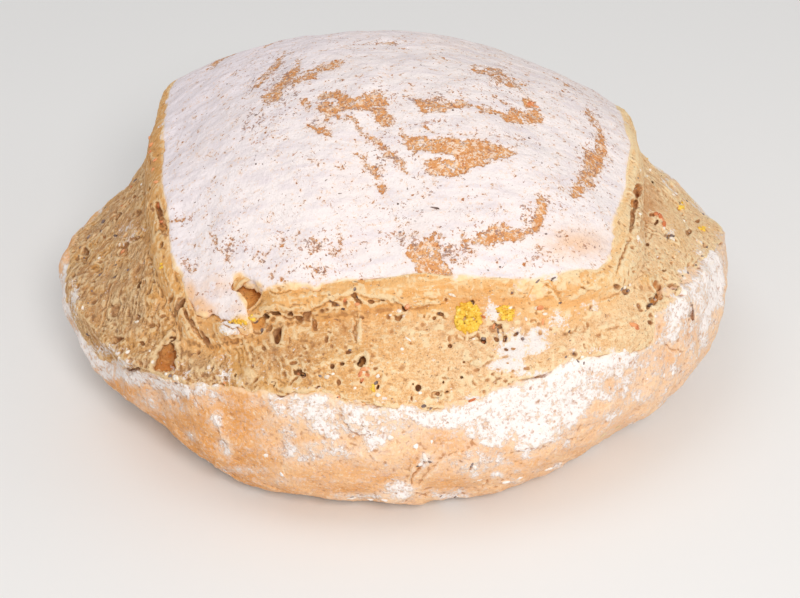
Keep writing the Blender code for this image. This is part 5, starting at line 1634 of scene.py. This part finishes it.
grains = Bits("pale_grains", 6)
for x, y, turn, long, wide in (
        (83, 308, 60, 2.2, 1.5), (137, 322, 60, 2.2, 1.5), (176, 378, 0, 3.2, 2.4), (171, 381, 30, 2.2, 1.8), (166, 374, 30, 2.0, 1.4),
        (150, 351, 0, 1.8, 1.2), (153, 362, 0, 1.6, 1.4), (128, 352, 30, 2.2, 1.6), (120, 358, 0, 1.8, 1.4), (452, 295, -30, 3.6, 1.2),
        (408, 339, -30, 3.0, 0.9), (402, 349, 0, 1.6, 1.2), (399, 311, 20, 2.6, 1.6), (404, 316, 0, 1.8, 1.4), (390, 315, 0, 1.4, 1.0),
        (327, 377, 0, 2.2, 1.6), (333, 374, 0, 1.4, 1.2), (378, 376, 0, 1.8, 1.4), (420, 393, 0, 1.6, 1.2), (378, 395, 0, 2.2, 1.6),
        (500, 335, 0, 1.8, 1.4), (510, 308, 0, 2.0, 1.6), (519, 314, 30, 2.2, 1.0), (536, 308, 0, 2.0, 1.4), (545, 314, 0, 2.2, 1.2),
        (555, 280, 0, 2.6, 1.8), (625, 287, 0, 2.2, 1.6), (630, 285, 0, 1.6, 1.2), (672, 239, 0, 3.0, 2.2), (664, 228, 0, 2.0, 1.4),
        (684, 278, 0, 2.6, 2.0), (700, 252, 30, 2.2, 1.4), (646, 176, 0, 2.2, 1.6), (650, 170, 0, 1.8, 1.4), (640, 170, 0, 1.6, 1.4),
        (638, 238, 20, 2.8, 2.0), (640, 214, 0, 1.8, 1.4), (655, 300, 30, 1.8, 1.2), (684, 221, 0, 1.6, 1.4), (657, 257, 0, 1.4, 1.2),
        (572, 360, 40, 2.2, 1.6), (582, 357, 40, 1.8, 1.2), (474, 339, 0, 1.6, 1.0), (590, 353, 0, 1.4, 1.0), (355, 388, 0, 1.2, 1.0)):
    grains.at(x, y, turn, (0.85 * long, 0.85 * wide, 0.6 * wide), lumpy=0.35, sunk=0.5)
grains.around_band(34, 0.8, 2.0, 0.5, near_share=0.1)

yellow = Bits("yellow_grits", 7)
for x, y, half_x, half_y, number in ((468, 318, 13, 15, 120), (507, 313, 8, 7, 34), (500, 310, 3, 3, 5), (702, 229, 3, 3, 6), (682, 206, 2, 3, 4),
                                     (161, 267, 2, 3, 3), (252, 318, 3, 3, 5), (238, 322, 9, 1.6, 12),
                                     (372, 388, 2, 3, 4), (679, 208, 2, 2, 3)):
    for i in range(number):
        a, rr = i * 2.399, math.sqrt((i + 0.5) / number)
        px = x + half_x * rr * math.cos(a) + yellow.chance.normal(0, 0.35)
        py = y + half_y * rr * math.sin(a) + yellow.chance.normal(0, 0.35)
        if abs((py - 320) - 2.0 * math.sin(px * 0.9)) < 1.2 and number > 60 and abs(px - 470) < 9:
            continue
        size = yellow.chance.uniform(0.8, 2.1) * (0.8 if number < 60 else 1.0)
        yellow.at(px, py, yellow.chance.uniform(0, 180), (size, size * 0.8, size * 0.8), lumpy=0.6,
                  sunk=0.45 - (0.75 * (1 - rr) if number > 60 else 0.0))
for theta, share in ((140, 0.5), (110, 0.35), (70, 0.6), (40, 0.4), (20, 0.6)):
    place, normal = band_point(theta, share)
    across, up = tangents(normal)
    for i in range(int(yellow.chance.integers(6, 22))):
        spot = place + across * yellow.chance.normal(0, 0.0018) + up * yellow.chance.normal(0, 0.0014)
        found = trees["crumb" if spot[1] < 0.03 else "far"].ray_cast(Vector(spot + normal * 0.006), Vector(-normal), 0.012)
        if found[0] is not None:
            size = yellow.chance.uniform(0.9, 1.9)
            yellow.put(np.array(found[0]), np.array(found[1]), yellow.chance.uniform(0, 3.1), (size, size * 0.8, size * 0.7), lumpy=0.35, sunk=0.3)

orange = Bits("orange_bits", 8)
for x, y, turn, long, wide in (
        (650, 159, 40, 4.2, 3.0), (648, 157, 0, 3.0, 2.4), (661, 219, 60, 4.6, 2.4), (664, 224, 30, 3.0, 1.8), (656, 214, 30, 2.4, 1.8),
        (365, 369, 0, 3.4, 1.4), (360, 374, 70, 2.6, 1.2), (367, 375, 20, 2.4, 1.2), (362, 380, 60, 2.0, 1.2), (300, 375, -20, 3.0, 1.3),
        (530, 104, 0, 3.6, 1.8), (536, 107, 30, 2.2, 1.4), (483, 343, -50, 2.8, 1.4), (494, 326, 60, 2.4, 1.0),
        (148, 122, 80, 3.0, 2.4), (147, 127, 60, 2.6, 2.2), (149, 132, 60, 2.6, 1.8), (150, 138, 30, 2.2, 1.6), (151, 145, 80, 2.4, 1.6),
        (152, 116, 60, 2.0, 1.6), (150, 152, 60, 2.2, 1.4), (153, 170, 80, 2.2, 1.4), (156, 182, 60, 2.4, 1.4), (155, 110, 60, 1.8, 1.2), (345, 300, 60, 1.8, 1.0), (357, 304, 0, 1.8, 1.2), (407, 307, 60, 2.6, 1.6),
        (634, 325, -38, 4.2, 1.5), (637, 328, -38, 2.8, 1.2), (540, 308, 0, 2.6, 1.6), (543, 322, 70, 2.6, 0.9), (122, 252, 60, 2.8, 1.0),
        (155, 160, 80, 2.0, 1.2), (159, 205, 80, 3.0, 1.4), (160, 222, 70, 3.0, 1.6), (472, 400, 20, 3.0, 1.0), (340, 397, 0, 2.6, 0.9)):
    orange.at(x, y, turn, (long, wide, 0.6 * wide), sunk=0.4)
orange.around_band(16, 0.9, 2.4, 0.4, near_share=0.1)

flakes = Bits("flour_flakes", 9)
for i in range(90):
    theta = flakes.chance.uniform(-180, 180)
    z = flakes.chance.uniform(0.006, 0.045)
    a = math.radians(theta)
    found = trees["shell"].ray_cast(Vector((0.16 * math.cos(a), 0.16 * math.sin(a), z)), Vector((-math.cos(a), -math.sin(a), 0)))
    if found[0] is not None:
        size = flakes.chance.uniform(0.7, 2.4) * (1.25 if flakes.chance.random() < 0.1 else 1.0)
        flakes.put(np.array(found[0]), np.array(found[1]), flakes.chance.uniform(0, 3.1),
                   (size, size * flakes.chance.uniform(0.5, 0.9), 0.4), lumpy=0.6, sunk=0.5)
for x, y, turn, long, wide in (
        (352, 498, 0, 3.0, 1.4), (425, 457, -60, 3.4, 1.6), (421, 464, -40, 3.0, 1.6), (474, 466, -60, 2.8, 1.6), (497, 474, 0, 2.4, 1.8),
        (548, 469, -10, 3.4, 1.4), (560, 463, -30, 2.8, 1.2), (506, 482, 0, 2.8, 1.2), (370, 499, 0, 3.0, 1.0), (384, 500, 0, 2.6, 1.2)):
    flakes.at(x, y, turn, (long, wide, 1.0), lumpy=0.6, sunk=0.55)

bits = [husks.finish(bit_material("husk", (142, 122, 116), (96, 76, 68), (178, 160, 152))),
        grains.finish(bit_material("pale_grain", (250, 240, 226), (232, 212, 188), (255, 250, 242))),
        yellow.finish(bit_material("yellow_grit", (248, 208, 84), (234, 182, 60), (255, 228, 134), 0.004, 0.6)),
        orange.finish(bit_material("orange_bit", (234, 160, 108), (206, 116, 70), (246, 190, 150), 0.004, 0.6)),
        flakes.finish(bit_material("flour_flake", (252, 245, 240), (246, 232, 220), (255, 250, 246), 0.004, 0.9))]
note("bits: " + ", ".join(f"{b.name} {len(b.data.polygons)}" for b in bits))


# ------------------------------------------------------------------ camera, floor and light
camera_data = bpy.data.cameras.new("camera")
camera_data.lens, camera_data.sensor_width = LENS, SENSOR
camera_data.clip_start, camera_data.clip_end = 0.01, 50.0
camera = bpy.data.objects.new("camera", camera_data)
turn = Matrix((RIGHT.tolist(), UP.tolist(), (-AHEAD).tolist())).transposed().to_4x4()
camera.matrix_world = Matrix.Translation(Vector(CAMERA)) @ turn
bpy.context.scene.collection.objects.link(camera)
bpy.context.scene.camera = camera

bpy.ops.mesh.primitive_plane_add(size=30.0, location=(0.0, 6.0, 0.0))
floor = bpy.context.object
floor.name = "floor"
floor.data.materials.append(Nodes("floor_paint", 0.9).finish((0.86, 0.85, 0.84, 1.0)))

world = bpy.data.worlds.new("studio")
world.use_nodes = True
world.node_tree.nodes["Background"].inputs["Color"].default_value = (1.0, 1.0, 1.0, 1.0)
world.node_tree.nodes["Background"].inputs["Strength"].default_value = 0.54
bpy.context.scene.world = world


def soft_light(name, place, aim, size, power, colour):
    data = bpy.data.lights.new(name, "AREA")
    data.shape = "DISK"
    data.size = size
    data.energy = power
    data.color = colour
    lamp = bpy.data.objects.new(name, data)
    lamp.location = place
    lamp.rotation_euler = (Vector(aim) - Vector(place)).to_track_quat("-Z", "Y").to_euler()
    bpy.context.scene.collection.objects.link(lamp)


soft_light("key", (0.26, -1.16, 0.90), (0, 0, 0.06), 0.45, 10.2, (1.0, 0.985, 0.965))
soft_light("side", (1.15, -0.35, 0.55), (0, 0, 0.06), 0.6, 0.9, (1.0, 0.97, 0.93))
soft_light("top", (-0.35, -0.10, 1.40), (0, 0, 0.06), 0.9, 2.6, (0.97, 0.98, 1.0))

scene = bpy.context.scene
scene.view_settings.view_transform = "Standard"
scene.view_settings.look = "None"
scene.view_settings.exposure = 0.0
scene.view_settings.gamma = 1.0

# ------------------------------------------------------------------ the pieces under one body, and the imported part hidden
for piece in [lid_piece, crumb_piece, far_piece, shell_piece]:
    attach(piece, "root")
    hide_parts("loaf")
for piece in bits:
    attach(piece, "root")
note("ready")
